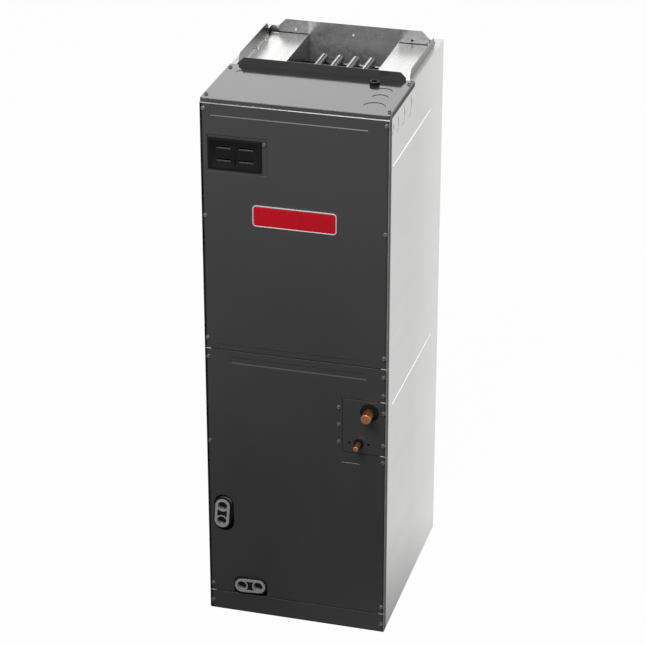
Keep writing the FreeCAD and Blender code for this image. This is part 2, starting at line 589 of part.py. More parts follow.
def top_cover():
    """The painted top: turned-down edges on three sides and the front duct flange at its rear edge."""
    x = SIDE_X + FIT + SHEET
    low = HEIGHT - COVER_LIP
    corners = [(-x, FRONT_Y), (x, FRONT_Y), (x, COVER_END_Y), (-x, COVER_END_Y)]
    bends = [CORNER + SHEET, CORNER + SHEET, 0, 0]
    outer = plate([(a, b, low) for a, b in corners], (0, 0, COVER_LIP), bends)
    upper = [e for e in outer.Edges if e.BoundBox.ZMin > HEIGHT - COVER_EDGE]
    rim = [e for e in upper if e.BoundBox.YMin < COVER_END_Y - SHEET]
    outer = outer.makeFillet(COVER_EDGE, rim)
    a = x - SHEET
    hollow = [(-a, LIP_Y), (a, LIP_Y), (a, COVER_END_Y + SHEET), (-a, COVER_END_Y + SHEET)]
    inner = plate([(p, q, low) for p, q in hollow], (0, 0, COVER_LIP - SHEET), [CORNER, CORNER, 0, 0])
    half = FRONT_FLANGE_X
    cut = half - FLANGE_CHAMFER
    shoulder = FLANGE_Z - FLANGE_CHAMFER
    y = COVER_END_Y - SHEET
    flange = plate([(-half, y, TOP_IN), (-half, y, shoulder), (-cut, y, FLANGE_Z), (cut, y, FLANGE_Z),
                    (half, y, shoulder), (half, y, TOP_IN)], (0, SHEET, 0))
    shape = join([outer.cut(inner), flange])
    places = [(SIDE_X - inward, back, r) for inward, back, r in RIGHT_KNOCKOUTS]
    places += [(inward - SIDE_X, back, r) for inward, back, r in LEFT_KNOCKOUTS]
    z = HEIGHT - KNOCKOUT_DEPTH
    discs = [rod((p, FRONT_Y + back, z), UP, r, SHEET) for p, back, r in places]
    bushing_hole = rod((BUSHING_X, BUSHING_Y, low), UP, BUSHING_NECK + FIT, COVER_LIP + SHEET)
    return drill(shape.cut(discs + [bushing_hole]), COVER_POINTS, UP)


def wire_bushing():
    """A snap-in bushing for the supply wires."""
    head = rod((BUSHING_X, BUSHING_Y, HEIGHT), UP, BUSHING_NECK + BUSHING_LIP, BUSHING_UP)
    edge = [e for e in head.Edges if e.BoundBox.ZMin > HEIGHT + BUSHING_UP - FIT]
    head = head.makeFillet(BUSHING_EDGE, edge)
    foot = (BUSHING_X, BUSHING_Y, TOP_IN - BUSHING_DOWN)
    neck = rod(foot, UP, BUSHING_NECK, BUSHING_DOWN + 2 * SHEET)
    hole = rod(foot, UP, BUSHING_NECK - BUSHING_WALL, BUSHING_DOWN + SHEET + BUSHING_UP)
    return join([head, neck]).cut(hole)


def outlet_ledge(side):
    """One bent sheet: a duct flange, the ledge beside the outlet and the outlet wall under it."""
    y = (COVER_END_Y + FIT, REAR_WALL_Y - FIT)
    ledge = block((OUTLET_X, FLANGE_X), y, (LEDGE_Z - SHEET, LEDGE_Z))
    wall = block((OUTLET_X, OUTLET_X + SHEET), y, (DECK_TOP, LEDGE_Z))
    front, rear = SIDE_FLANGE_Y
    x = FLANGE_X - SHEET
    shoulder = FLANGE_Z - FLANGE_CHAMFER
    low = LEDGE_Z - SHEET
    outline = [(x, front, low), (x, front, shoulder), (x, front + FLANGE_CHAMFER, FLANGE_Z),
               (x, rear - FLANGE_CHAMFER, FLANGE_Z), (x, rear, shoulder), (x, rear, low)]
    flange = plate(outline, (SHEET, 0, 0))
    shape = join([ledge, wall, flange])
    return mirrored(shape) if side < 0 else shape


def rear_outlet_wall():
    """The flat sheet behind the outlet, its top standing up as the rear duct flange."""
    half = REAR_FLANGE_X
    cut = half - REAR_CHAMFER
    shoulder = FLANGE_Z - REAR_CHAMFER
    foot = OUTLET_X + SHEET
    ledge = LEDGE_Z + FIT
    y = REAR_WALL_Y
    shape = plate([(-foot, y, DECK_TOP), (-foot, y, ledge), (-half, y, ledge), (-half, y, shoulder),
                   (-cut, y, FLANGE_Z), (cut, y, FLANGE_Z), (half, y, shoulder), (half, y, ledge),
                   (foot, y, ledge), (foot, y, DECK_TOP)], (0, SHEET, 0))
    z = FLANGE_Z - REAR_HOLE_DROP
    holes = [rod((x, y - SHEET, z), BACK, REAR_HOLE_R, 3 * SHEET) for x in (-REAR_HOLE_X, 0, REAR_HOLE_X)]
    return shape.cut(holes)


def liners():
    """Insulation on both sides, and on the back below the blower."""
    low = PAN_Z + FIT
    y = (FRONT_Y + SCREW_LENGTH + SCREW_CLEAR, BACK_IN - FIT)
    right = block((LINER_X, SIDE_IN - FIT), y, (low, DECK_Z - FIT))
    blower_foot = AXIS_Z - SCROLL_R - SCROLL_STEP - SHEET - SEAM
    rear = block((-LINER_X + FIT, LINER_X - FIT), (y[1] - LINER, y[1]), (low, blower_foot - LINER))
    return [mirrored(right), right, rear]


def blower_deck():
    """The shelf that the blower hangs from, open for its outlet."""
    x = SIDE_IN - FIT
    deck = block((-x, x), (DECK_FRONT_Y, BACK_IN - FIT), (DECK_Z, DECK_TOP))
    outlet = block((-OUTLET_X, OUTLET_X), (COVER_END_Y, REAR_WALL_Y), (DECK_Z - SHEET, DECK_TOP + SHEET))
    return deck.cut(outlet)


# Front panels

def front_panel(x_span, z_span):
    """A flat panel with rounded front edges and its top and bottom edges folded in."""
    face = block(x_span, (FRONT_Y, LIP_Y), z_span)
    rim = [e for e in face.Edges if e.BoundBox.YMax < FRONT_Y + PANEL_EDGE]
    face = face.makeFillet(PANEL_EDGE, rim)
    fold_x = (max(x_span[0] + PANEL_EDGE, -FOLD_X), min(x_span[1] - PANEL_EDGE, FOLD_X))
    fold_y = (LIP_Y, FRONT_Y + PANEL_RETURN)
    low = block(fold_x, fold_y, (z_span[0], z_span[0] + SHEET))
    high = block(fold_x, fold_y, (z_span[1] - SHEET, z_span[1]))
    return join([face, low, high])


def rectangle(x_span, y, z_span):
    """An upright rectangular wire facing the front."""
    x0, x1 = x_span
    z0, z1 = z_span
    corners = [(x0, z0), (x1, z0), (x1, z1), (x0, z1), (x0, z0)]
    return Part.makePolygon([FreeCAD.Vector(a, y, b) for a, b in corners])


def press(panel, wide, narrow, depth, limits):
    """A panel with a sloped hollow pressed into it, from a wide mouth to a narrow floor."""
    mouth = rectangle(wide[0], FRONT_Y, wide[1])
    floor = rectangle(narrow[0], FRONT_Y + depth, narrow[1])
    hollow = Part.makeLoft([mouth, floor], True, True)
    z_span = (max(wide[1][0], limits[0]), min(wide[1][1], limits[1]))
    backing = block(wide[0], (LIP_Y, LIP_Y + depth), z_span)
    return join([panel, backing]).cut(hollow)


def press_evenly(panel, x_span, z_span, depth, limits):
    """A pressing whose edges all slope alike."""
    narrow = ((x_span[0] + PRESS_SLOPE, x_span[1] - PRESS_SLOPE),
              (z_span[0] + PRESS_SLOPE, z_span[1] - PRESS_SLOPE))
    return press(panel, (x_span, z_span), narrow, depth, limits)


def upper_access_panel():
    """The upper panel: pressed strips along its top and bottom, and a recess for the breaker cover."""
    low, high = UPPER_PANEL
    shape = front_panel((-PANEL_X, PANEL_X), UPPER_PANEL)
    x = (TOP_STRIP_ENDS[0] - PANEL_X, PANEL_X - TOP_STRIP_ENDS[1])
    shape = press_evenly(shape, x, (high - TOP_STRIP, high + TOP_STRIP), PRESS_DEPTH, UPPER_PANEL)
    x = (-PRESS_X, PRESS_X)
    shape = press_evenly(shape, x, (low - BOTTOM_STRIP, low + BOTTOM_STRIP), PRESS_DEPTH, UPPER_PANEL)
    left, around, right = RECESS_MARGIN
    narrow = ((BREAKER_X[0] - left / 2, BREAKER_X[1] + right),
              (BREAKER_Z[0] - around, BREAKER_Z[1] + around))
    wide = ((BREAKER_X[0] - left, narrow[0][1] + PRESS_SLOPE),
            (narrow[1][0] - PRESS_SLOPE, narrow[1][1] + PRESS_SLOPE))
    shape = press(shape, wide, narrow, RECESS_DEPTH, UPPER_PANEL)
    window = block((BREAKER_X[0] + BREAKER_LIP, BREAKER_X[1] - BREAKER_LIP),
                   (FRONT_Y, FRONT_Y + 2 * PANEL_RETURN),
                   (BREAKER_Z[0] + BREAKER_LIP, BREAKER_Z[1] - BREAKER_LIP))
    return drill(shape.cut(window), UPPER_POINTS + [BREAKER_POINT], OUT)


def breaker_cover():
    """A plastic cover with a raised border, a middle rib and four closed slots."""
    back = FRONT_Y + RECESS_DEPTH
    face = back - BREAKER_THICK
    body = block(BREAKER_X, (face, back), BREAKER_Z)
    rim = [e for e in body.Edges if e.BoundBox.YMax < face + PANEL_EDGE]
    body = body.makeFillet(PANEL_EDGE, rim)
    middle_x = sum(BREAKER_X) / 2
    middle_z = sum(BREAKER_Z) / 2
    x = (BREAKER_X[0] + BREAKER_RIM, BREAKER_X[1] - BREAKER_RIM)
    z = (BREAKER_Z[0] + BREAKER_RIM, BREAKER_Z[1] - BREAKER_RIM)
    sunk = (face - SHEET, face + BREAKER_STEP)
    half_rib = BREAKER_RIM / 2
    cuts = [block((x[0], middle_x - half_rib), sunk, z), block((middle_x + half_rib, x[1]), sunk, z)]
    for side in (-1, 1):
        for level in (-1, 1):
            cx = middle_x + side * SLOT_X
            cz = middle_z + level * SLOT_Z
            cuts.append(block((cx - SLOT[0] / 2, cx + SLOT[0] / 2), (face, face + SLOT_DEPTH),
                              (cz - SLOT[1] / 2, cz + SLOT[1] / 2)))
    return body.cut(cuts)


def name_plate():
    """A blank name plate: a sunk field inside a raised rim."""
    low, high = PLATE_Z
    y = FRONT_Y - PLATE_THICK
    body = plate([(-PLATE_X, y, low), (PLATE_X, y, low), (PLATE_X, y, high), (-PLATE_X, y, high)],
                 (0, PLATE_THICK, 0), PLATE_CORNER)
    a = PLATE_X - PLATE_RIM
    low, high = low + PLATE_RIM, high - PLATE_RIM
    field = plate([(-a, y, low), (a, y, low), (a, y, high), (-a, y, high)], (0, PLATE_SINK, 0),
                  PLATE_CORNER - PLATE_RIM)
    return body.cut(field)


def lower_access_panel():
    """The lower panel: a groove, openings for the drains and a notch for the tubing panel."""
    low, high = LOWER_PANEL
    shape = front_panel((-PANEL_X, PANEL_X), LOWER_PANEL)
    top = high - GROOVE_DROP
    groove_x = (GROOVE_ENDS[0] - PANEL_X, PANEL_X - GROOVE_ENDS[1])
    shape = press_evenly(shape, groove_x, (top - GROOVE_WIDTH, top), PRESS_DEPTH, LOWER_PANEL)
    dash_x = (DASH_X - DASH[0] / 2, DASH_X + DASH[0] / 2)
    dash_z = (DASH_Z - DASH[1] / 2, DASH_Z + DASH[1] / 2)
    mouth = (dash_x, dash_z)
    floor = ((dash_x[0] + SHEET, dash_x[1] - SHEET), (dash_z[0] + SHEET, dash_z[1] - SHEET))
    shape = press(shape, mouth, floor, PRESS_DEPTH, LOWER_PANEL)
    through = (FRONT_Y - SHEET, FRONT_Y + 2 * PANEL_RETURN)
    side_width = 2 * (FITTING_R + SIDE_CUT_MARGIN[0])
    side_length = FITTING_SPACING + 2 * (FITTING_R + SIDE_CUT_MARGIN[1])
    side_centre = (SIDE_FITTING[0] + SIDE_CUT_SHIFT, SIDE_FITTING[1])
    side_hole = oblong(side_centre, side_length, side_width, 90, through)
    half = FITTING_SPACING / 2 + FITTING_R + LOW_CUT_MARGIN
    crown = LOW_FITTING[1] + FITTING_R + LOW_CUT_MARGIN
    x = (LOW_FITTING[0] - half, LOW_FITTING[0] + half)
    y, depth = through[0], through[1] - through[0]
    low_hole = plate([(x[0], y, low - SHEET), (x[1], y, low - SHEET), (x[1], y, crown), (x[0], y, crown)],
                     (0, depth, 0), [0, 0, FITTING_R, FITTING_R])
    notch = block((TUBING_LEFT - PANEL_GAP, SIDE_X), through,
                  (TUBING_Z[0] - PANEL_GAP, TUBING_Z[1] + PANEL_GAP))
    return drill(shape.cut([side_hole, low_hole, notch]), LOWER_POINTS + STRAP_POINTS, OUT)


def tubing_panel():
    """The small panel round the refrigerant lines."""
    face = block((TUBING_LEFT, PANEL_X), (FRONT_Y, LIP_Y), TUBING_Z)
    rim = [e for e in face.Edges if e.BoundBox.YMax < FRONT_Y + PANEL_EDGE]
    face = face.makeFillet(PANEL_EDGE, rim)
    start = FRONT_Y - SHEET
    holes = [rod((SUCTION_X, start, SUCTION_Z), BACK, SUCTION_R + SUCTION_GROMMET[0], 3 * SHEET),
             rod((LIQUID_X, start, LIQUID_Z), BACK, LIQUID_R + LIQUID_GROMMET[0], 3 * SHEET)]
    for x in (LIQUID_X - SMALL_HOLE_X, LIQUID_X + SMALL_HOLE_X):
        holes.append(rod((x, start, LIQUID_Z), BACK, SMALL_HOLE_R, 3 * SHEET))
    return drill(face.cut(holes), TUBING_POINTS, OUT)


def grommet(x, z, size, line_radius):
    """A rubber grommet: a rounded face, a neck in the panel's hole and a back flange."""
    neck = line_radius + size[0]
    flange = neck + size[1]
    face = rod((x, FRONT_Y - GROMMET_FACE, z), BACK, flange, GROMMET_FACE)
    edge = [e for e in face.Edges if e.BoundBox.YMax < FRONT_Y - GROMMET_FACE + FIT]
    face = face.makeFillet(GROMMET_FACE / 2, edge)
    middle = rod((x, FRONT_Y, z), BACK, neck - FIT, SHEET)
    rear = rod((x, LIP_Y, z), BACK, flange - GROMMET_BACK / 2, GROMMET_BACK)
    hole = rod((x, FRONT_Y - 2 * GROMMET_FACE, z), BACK, line_radius + LINE_GAP, 4 * GROMMET_FACE)
    return join([face, middle, rear]).cut(hole)


def tubing_frame():
    """The strap behind the tubing panel's three inner edges, held by the side panel's lip."""
    y = (INNER_Y, INNER_Y + SHEET)
    x0 = STRAP_SCREW_X - STRAP_EDGE / 2
    x1 = SIDE_IN - CORNER
    low = TUBING_Z[0] - STRAP_EDGE / 2
    high = TUBING_Z[1] + STRAP_EDGE / 2
    outer = block((x0, x1), y, (low, high))
    reach = SUCTION_R + sum(SUCTION_GROMMET) + 2 * SHEET
    inner = block((TUBING_LEFT + STRAP_EDGE / 2, x1 + SHEET), (y[0] - SHEET, y[1] + SHEET),
                  (TUBING_Z[0] + STRAP_EDGE / 2, SUCTION_Z + reach))
    return drill(outer.cut(inner), EDGE_POINTS + STRAP_POINTS, OUT)


# Drains

def drain_fitting(centre, tilt, rear):
    """An oblong fitting with two threaded ports and a sunk waist between them."""
    face = FRONT_Y - FITTING_OUT
    length = FITTING_SPACING + 2 * FITTING_R
    body = oblong(centre, length, 2 * FITTING_R, tilt, (face, rear))
    rim = [e for e in body.Edges if e.BoundBox.YMax < face + FIT]
    body = body.makeFillet(PANEL_EDGE, rim)
    cuts = []
    for x, z in port_places(centre, tilt):
        cuts.append(rod((x, face, z), BACK, PORT_R, PORT_DEPTH))
        cuts.append(rod((x, face, z), BACK, WEEP_R, rear - face))
    waist = block((-FITTING_R / 2, FITTING_R / 2), (face, face + PORT_R), (-PORT_R, PORT_R))
    keep = [rod((s * FITTING_SPACING / 2, face, 0), BACK, PORT_R + PAN_WALL, PORT_R) for s in (-1, 1)]
    waist = waist.cut(keep)
    waist.rotate(vec((0, 0, 0)), vec(BACK), -tilt)
    waist.translate(FreeCAD.Vector(centre[0], 0, centre[1]))
    return body.cut(cuts + [waist])


def port_places(centre, tilt):
    """Where a fitting's two ports are."""
    dx = FITTING_SPACING / 2 * math.cos(math.radians(tilt))
    dz = FITTING_SPACING / 2 * math.sin(math.radians(tilt))
    return [(centre[0] - dx, centre[1] - dz), (centre[0] + dx, centre[1] + dz)]


def weep_holes(centre, tilt, y_span):
    """The holes through a pan's wall behind its fitting."""
    length = y_span[1] - y_span[0]
    return [rod((x, y_span[0], z), BACK, WEEP_R, length) for x, z in port_places(centre, tilt)]


def upflow_pan():
    """The ring-shaped pan under the coil, open in the middle for the air."""
    top = PAN_Z + PAN_HEIGHT
    x, y = PAN_X, PAN_Y
    body = block((-x, x), y, (PAN_Z, top))
    trough = block((-x + PAN_WALL, x - PAN_WALL), (y[0] + PAN_WALL, y[1] - PAN_WALL),
                   (PAN_FLOOR, top + SHEET))
    a, b = PAN_OPEN_X, PAN_OPEN_Y
    core = block((-a - PAN_WALL, a + PAN_WALL), (b[0] - PAN_WALL, b[1] + PAN_WALL),
                 (PAN_Z, PAN_Z + PAN_INNER))
    opening = block((-a, a), b, (PAN_Z - SHEET, top + SHEET))
    shape = join([body.cut(trough), core]).cut(opening)
    return shape.cut(weep_holes(LOW_FITTING, LOW_TILT, (y[0] - SHEET, y[0] + 2 * PAN_WALL)))


def side_pan():
    """The tray along the left side that serves when the cabinet lies down."""
    x0 = -LINER_X + FIT
    x1 = x0 + SIDE_PAN_DEPTH
    y = SIDE_PAN_Y
    z = (PAN_Z + PAN_HEIGHT + FIT, SIDE_PAN_TOP)
    body = block((x0, x1), y, z)
    hollow = block((x0 + PAN_WALL, x1 + SHEET), (y[0] + PAN_WALL, y[1] - PAN_WALL),
                   (z[0] + PAN_WALL, z[1] - PAN_WALL))
    return body.cut(hollow).cut(weep_holes(SIDE_FITTING, SIDE_TILT, (y[0] - SHEET, y[0] + 2 * PAN_WALL)))


def coil_rails():
    """Angles along both sides that carry the drain pan and the coil."""
    y = (INNER_Y + CORNER, BACK_IN - FIT)
    x = SIDE_IN - FIT
    shelf = block((x - PAN_RAIL_LEG, x), y, (PAN_RAIL_Z, PAN_Z))
    leg = block((x - SHEET, x), y, (BASE_LIP + FIT, PAN_Z))
    right = join([shelf, leg])
    return [mirrored(right), right]


# Coil

SLAB_FOOT_X = PAN_OPEN_X + PAN_WALL + SLAB_IN + SLAB_THICK / 2
SLAB_LEAN = math.asin((SLAB_FOOT_X - SLAB_TOP_X) / SLAB_LENGTH)
SLAB_FOOT_Z = PAN_FLOOR + FIT + SLAB_THICK / 2 * math.sin(SLAB_LEAN)


def lean(shape, side):
    """Sets a slab piece, built upright over the origin, at its lean on one side."""
    shape.rotate(vec((0, 0, 0)), vec(BACK), -math.degrees(SLAB_LEAN))
    shape.translate(FreeCAD.Vector(SLAB_FOOT_X, 0, SLAB_FOOT_Z))
    return mirrored(shape) if side < 0 else shape


def slab_place(across, up, side):
    """The (x, z) of a point in a slab, given across its thickness and up its length."""
    x = SLAB_FOOT_X + across * math.cos(SLAB_LEAN) - up * math.sin(SLAB_LEAN)
    z = SLAB_FOOT_Z + across * math.sin(SLAB_LEAN) + up * math.cos(SLAB_LEAN)
    return side * x, z


def tube_height(index):
    """How far up its slab a tube is."""
    return TUBE_FOOT + index * TUBE_PITCH


def coil_slab(side):
    """Fins on a middle web, as one comb."""
    count = int((SLAB_Y[1] - SLAB_Y[0] - FIN) / FIN_PITCH)
    half, web = SLAB_THICK / 2, FIN_WEB / 2
    right = []
    left = []
    for i in range(count + 1):
        y = SLAB_Y[0] + i * FIN_PITCH
        right += [(web, y, 0), (half, y, 0), (half, y + FIN, 0), (web, y + FIN, 0)]
        left += [(-web, y, 0), (-half, y, 0), (-half, y + FIN, 0), (-web, y + FIN, 0)]
    return lean(plate(right + left[::-1], (0, 0, SLAB_LENGTH)), side)


def slab_ends():
    """The y of the outer faces of a slab's two end plates."""
    count = int((SLAB_Y[1] - SLAB_Y[0] - FIN) / FIN_PITCH)
    return SLAB_Y[0] - END_PLATE, SLAB_Y[0] + count * FIN_PITCH + FIN + END_PLATE


def end_plates(side):
    """The plates at the front and back of one slab."""
    front, rear = slab_ends()
    x = (-SLAB_THICK / 2, SLAB_THICK / 2)
    pair = [block(x, (front, front + END_PLATE), (0, SLAB_LENGTH)),
            block(x, (rear - END_PLATE, rear), (0, SLAB_LENGTH))]
    return [lean(piece, side) for piece in pair]


def return_bends(side):
    """The U-bends that join a slab's tubes, at the front and the back."""
    front, rear = slab_ends()
    bends = []
    for row in (-1, 1):
        x = row * TUBE_ROW / 2
        for pair in range(TUBE_PAIRS):
            if row > 0 or pair not in FED_PAIRS:
                bends.append(u_bend(x, front, tube_height(2 * pair + 1), tube_height(2 * pair)))
            if pair + 1 < TUBE_PAIRS:
                bends.append(u_bend(x, rear, tube_height(2 * pair + 1), tube_height(2 * pair + 2)))
    return [lean(piece, side) for piece in bends]


def u_bend(x, y, start, end):
    """Half a ring of tube between two heights."""
    section = Part.Face(Part.Wire(Part.makeCircle(TUBE_R, FreeCAD.Vector(x, y, start), vec(BACK))))
    return section.revolve(FreeCAD.Vector(x, y, (start + end) / 2), RIGHT, 180)


def delta_plates():
    """The sheets that close the A between the slabs, front and back."""
    gap = FIT / math.cos(SLAB_LEAN)
    top_x, top_z = slab_place(-SLAB_THICK / 2, SLAB_LENGTH, 1)
    top_x = top_x - gap
    foot_z = PAN_Z + PAN_INNER + FIT
    foot_x = top_x + (top_z - foot_z) * math.tan(SLAB_LEAN)
    front, rear = slab_ends()
    plates = []
    for y in (front, rear - END_PLATE):
        corners = [(-foot_x, y, foot_z), (foot_x, y, foot_z), (top_x, y, top_z), (-top_x, y, top_z)]
        plates.append(plate(corners, (0, END_PLATE, 0)))
    return plates


def apex_baffle():
    """The cap over the top of the coil."""
    x, z = slab_place(SLAB_THICK / 2, SLAB_LENGTH, 1)
    return block((-x, x), slab_ends(), (z + FIT, z + FIT + SHEET))


def fed_tubes():
    """Where the lines join the tubes, as (x, z): for the feeders, then for the suction legs."""
    feeders = []
    legs = []
    for side in (1, -1):
        for pair, fed in FED_PAIRS.items():
            feeders.append(slab_place(-TUBE_ROW / 2, tube_height(2 * pair + fed), side))
            legs.append(slab_place(-TUBE_ROW / 2, tube_height(2 * pair + 1 - fed), side))
    return feeders, legs


def suction_line():
    """The suction stub, closed at its end, with the header inside and a leg to each circuit."""
    legs = fed_tubes()[1]
    low = min(z for x, z in legs) - SUCTION_R
    tip = FRONT_Y - SUCTION_OUT
    path = [(SUCTION_X, tip, SUCTION_Z), (SUCTION_X, HEADER_Y, SUCTION_Z), (SUCTION_X, HEADER_Y, low)]
    start = (SUCTION_X, tip + STUB_ROUND, SUCTION_Z)
    outer = pipe([start] + path[1:], SUCTION_R - STUB_STEP, SUCTION_BEND)
    cap = 2 * TUBE_WALL
    bore = [(SUCTION_X, tip + cap, SUCTION_Z), path[1], (SUCTION_X, HEADER_Y, low + cap)]
    inner = pipe(bore, SUCTION_R - STUB_STEP - TUBE_WALL, SUCTION_BEND)
    end = slab_ends()[0] - FIT
    branches = []
    for x, z in legs:
        if x > 0:
            branches.append(rod((x, HEADER_Y, z), BACK, TEE_R, end - HEADER_Y))
        else:
            way = [(SUCTION_X, HEADER_Y, z), (x, HEADER_Y, z), (x, end, z)]
            branches.append(pipe(way, LEG_R, LEG_BEND))
    return join([outer, sized_end(path[0], SUCTION_R)] + branches).cut(inner)


def liquid_line():
    """The liquid stub, closed at its end, down to the expansion valve."""
    tip = FRONT_Y - LIQUID_OUT
    path = [(LIQUID_X, tip, LIQUID_Z), (LIQUID_X, LIQUID_Y, LIQUID_Z), (LIQUID_X, LIQUID_Y, VALVE_TOP)]
    bore = [(LIQUID_X, tip + 2 * TUBE_WALL, LIQUID_Z), path[1], path[2]]
    start = (LIQUID_X, tip + STUB_ROUND, LIQUID_Z)
    outer = pipe([start] + path[1:], LIQUID_R - STUB_STEP, LIQUID_BEND)
    inner = pipe(bore, LIQUID_R - STUB_STEP - TUBE_WALL, LIQUID_BEND)
    return join([outer, sized_end(path[0], LIQUID_R)]).cut(inner)


def sized_end(tip, radius):
    """The end of a stub that a coupling slides over, as far as the grommet, with a rounded tip."""
    end = rod(tip, BACK, radius, FRONT_Y - GROMMET_FACE - STUB_CLEAR - tip[1])
    rim = [edge for edge in end.Edges if edge.BoundBox.YMax < tip[1] + STUB_ROUND / 2]
    return end.makeFillet(STUB_ROUND, rim)


def expansion_valve():
    """A brass valve body with its round power head at the side."""
    body = rod((LIQUID_X, LIQUID_Y, VALVE_TOP - VALVE_LENGTH), UP, VALVE_R, VALVE_LENGTH)
    neck_z = VALVE_TOP - VALVE_LENGTH / 2
    end = LIQUID_X - VALVE_NECK[1]
    neck = rod((end, LIQUID_Y, neck_z), ACROSS, VALVE_NECK[0], VALVE_NECK[1])
    head = rod((end, LIQUID_Y, neck_z), ACROSS, VALVE_HEAD[0], VALVE_HEAD[1])
    return join([body, neck, head])


def distributor():
    """A cone that shares the liquid between four thin feeder tubes."""
    top = VALVE_TOP - VALVE_LENGTH
    low = top - CONE_LENGTH
    cone = Part.makeCone(CONE_R, CONE_TIP, CONE_LENGTH, FreeCAD.Vector(LIQUID_X, LIQUID_Y, low), vec(UP))
    pieces = [cone]
    end = slab_ends()[0] - FIT
    feeders = fed_tubes()[0]
    middle = (len(feeders) - 1) / 2
    for i, (x, z) in enumerate(feeders):
        a = LIQUID_X + (i - middle) * FEEDER_PITCH
        level = low - FEEDER_DROP - i * FEEDER_STEP
        way = [(a, LIQUID_Y, low + FEEDER_R), (a, LIQUID_Y, level), (x, LIQUID_Y, level), (x, LIQUID_Y, z),
               (x, end, z)]
        pieces.append(pipe(way, FEEDER_R, FEEDER_BEND))
    return join(pieces)


# Filter

def filter_rails():
    """Channels on the floor that the filter slides in."""
    x0 = FILTER_X + FILTER_CLEAR
    low = FILTER_Z[0] - FILTER_CLEAR - SHEET
    high = FILTER_Z[1] + FILTER_CLEAR + SHEET
    web = block((x0, x0 + SHEET), FILTER_Y, (SHEET, high))
    legs = [block((x0 - FILTER_RAIL, x0), FILTER_Y, (z, z + SHEET)) for z in (low, high - SHEET)]
    right = join([web] + legs)
    return [mirrored(right), right]


def filter_frame():
    """The filter's card frame."""
    x, y, z, rim = FILTER_X, FILTER_Y, FILTER_Z, FILTER_BORDER
    body = block((-x, x), y, z)
    return body.cut(block((-x + rim, x - rim), (y[0] + rim, y[1] - rim), (z[0] - SHEET, z[1] + SHEET)))


def filter_media():
    """Pleated media inside the frame."""
    a = FILTER_X - FILTER_BORDER - FIT
    y = (FILTER_Y[0] + FILTER_BORDER + FIT, FILTER_Y[1] - FILTER_BORDER - FIT)
    low = FILTER_Z[0] + MEDIA
    high = FILTER_Z[1] - 2 * MEDIA
    step = a / PLEATS
    crest = [(-a + i * step, y[0], high if i % 2 else low) for i in range(2 * PLEATS + 1)]
    under = [(p[0], p[1], p[2] + MEDIA) for p in crest[::-1]]
    return plate(crest + under, (0, y[1] - y[0], 0))


# Blower

def scroll_region(grow, top, x_span):
    """The space inside the scroll and its outlet, grown outward by a margin."""
    front = COVER_END_Y - grow
    rear = REAR_WALL_Y + grow
    r1 = SCROLL_R + grow
    c1 = FreeCAD.Vector(x_span[0], AXIS_Y, AXIS_Z)
    c2 = c1 + FreeCAD.Vector(0, SCROLL_STEP, 0)
    c3 = c2 + FreeCAD.Vector(0, 0, SCROLL_STEP)
    nose = math.acos((front - AXIS_Y) / r1)

    def at(centre, radius, angle):
        return centre + FreeCAD.Vector(0, radius * math.cos(angle), radius * math.sin(angle))

    def arc(centre, radius, start, end):
        middle = (start + end) / 2
        points = [at(centre, radius, angle) for angle in (start, middle, end)]
        return Part.Arc(*points).toShape()

    turn = math.pi / 2
    edges = [arc(c1, r1, nose, 2 * turn), arc(c2, r1 + SCROLL_STEP, 2 * turn, 3 * turn),
             arc(c3, r1 + 2 * SCROLL_STEP, 3 * turn, 4 * turn)]
    last = at(c3, r1 + 2 * SCROLL_STEP, 0)
    x = x_span[0]
    corners = [last, FreeCAD.Vector(x, rear, top), FreeCAD.Vector(x, front, top), at(c1, r1, nose)]
    edges += [Part.makeLine(a, b) for a, b in zip(corners, corners[1:])]
    return Part.Face(Part.Wire(edges)).extrude(FreeCAD.Vector(x_span[1] - x_span[0], 0, 0))


def blower_scroll():
    """The curved wrap of the blower, up to the deck."""
    x = (-OUTLET_X, OUTLET_X)
    return scroll_region(SHEET, DECK_Z, x).cut(scroll_region(0, DECK_Z + SHEET, x))


def blower_side(side):
    """One side plate of the blower with its air inlet."""
    body = scroll_region(SHEET + SEAM, DECK_Z, (OUTLET_X, OUTLET_X + SHEET))
    shape = body.cut(rod((OUTLET_X - SHEET, AXIS_Y, AXIS_Z), ACROSS, INLET_R, 3 * SHEET))
    return mirrored(shape) if side < 0 else shape


def wheel_bar(x_span, radius):
    """A round bar on the blower's axis."""
    return rod((x_span[0], AXIS_Y, AXIS_Z), ACROSS, radius, x_span[1] - x_span[0])


def wheel_ring(x_span, outer, inner):
    """A ring on the blower's axis."""
    return wheel_bar(x_span, outer).cut(wheel_bar(x_span, inner))


def blower_wheel():
    """A double-inlet wheel's middle disc with its hub, and its two end rings."""
    rings = [wheel_ring((-WHEEL_X, -WHEEL_X + WHEEL_RING), WHEEL_R, WHEEL_IN),
             wheel_ring((WHEEL_X - WHEEL_RING, WHEEL_X), WHEEL_R, WHEEL_IN)]
    disc = wheel_bar((-WHEEL_DISC / 2, WHEEL_DISC / 2), WHEEL_R)
    hub = wheel_bar((-HUB_X, HUB_X), HUB_R)
    bore = wheel_bar((-WHEEL_X, WHEEL_X), SHAFT_R + SHAFT_GAP)
    return [join([disc, hub]).cut(bore)] + rings


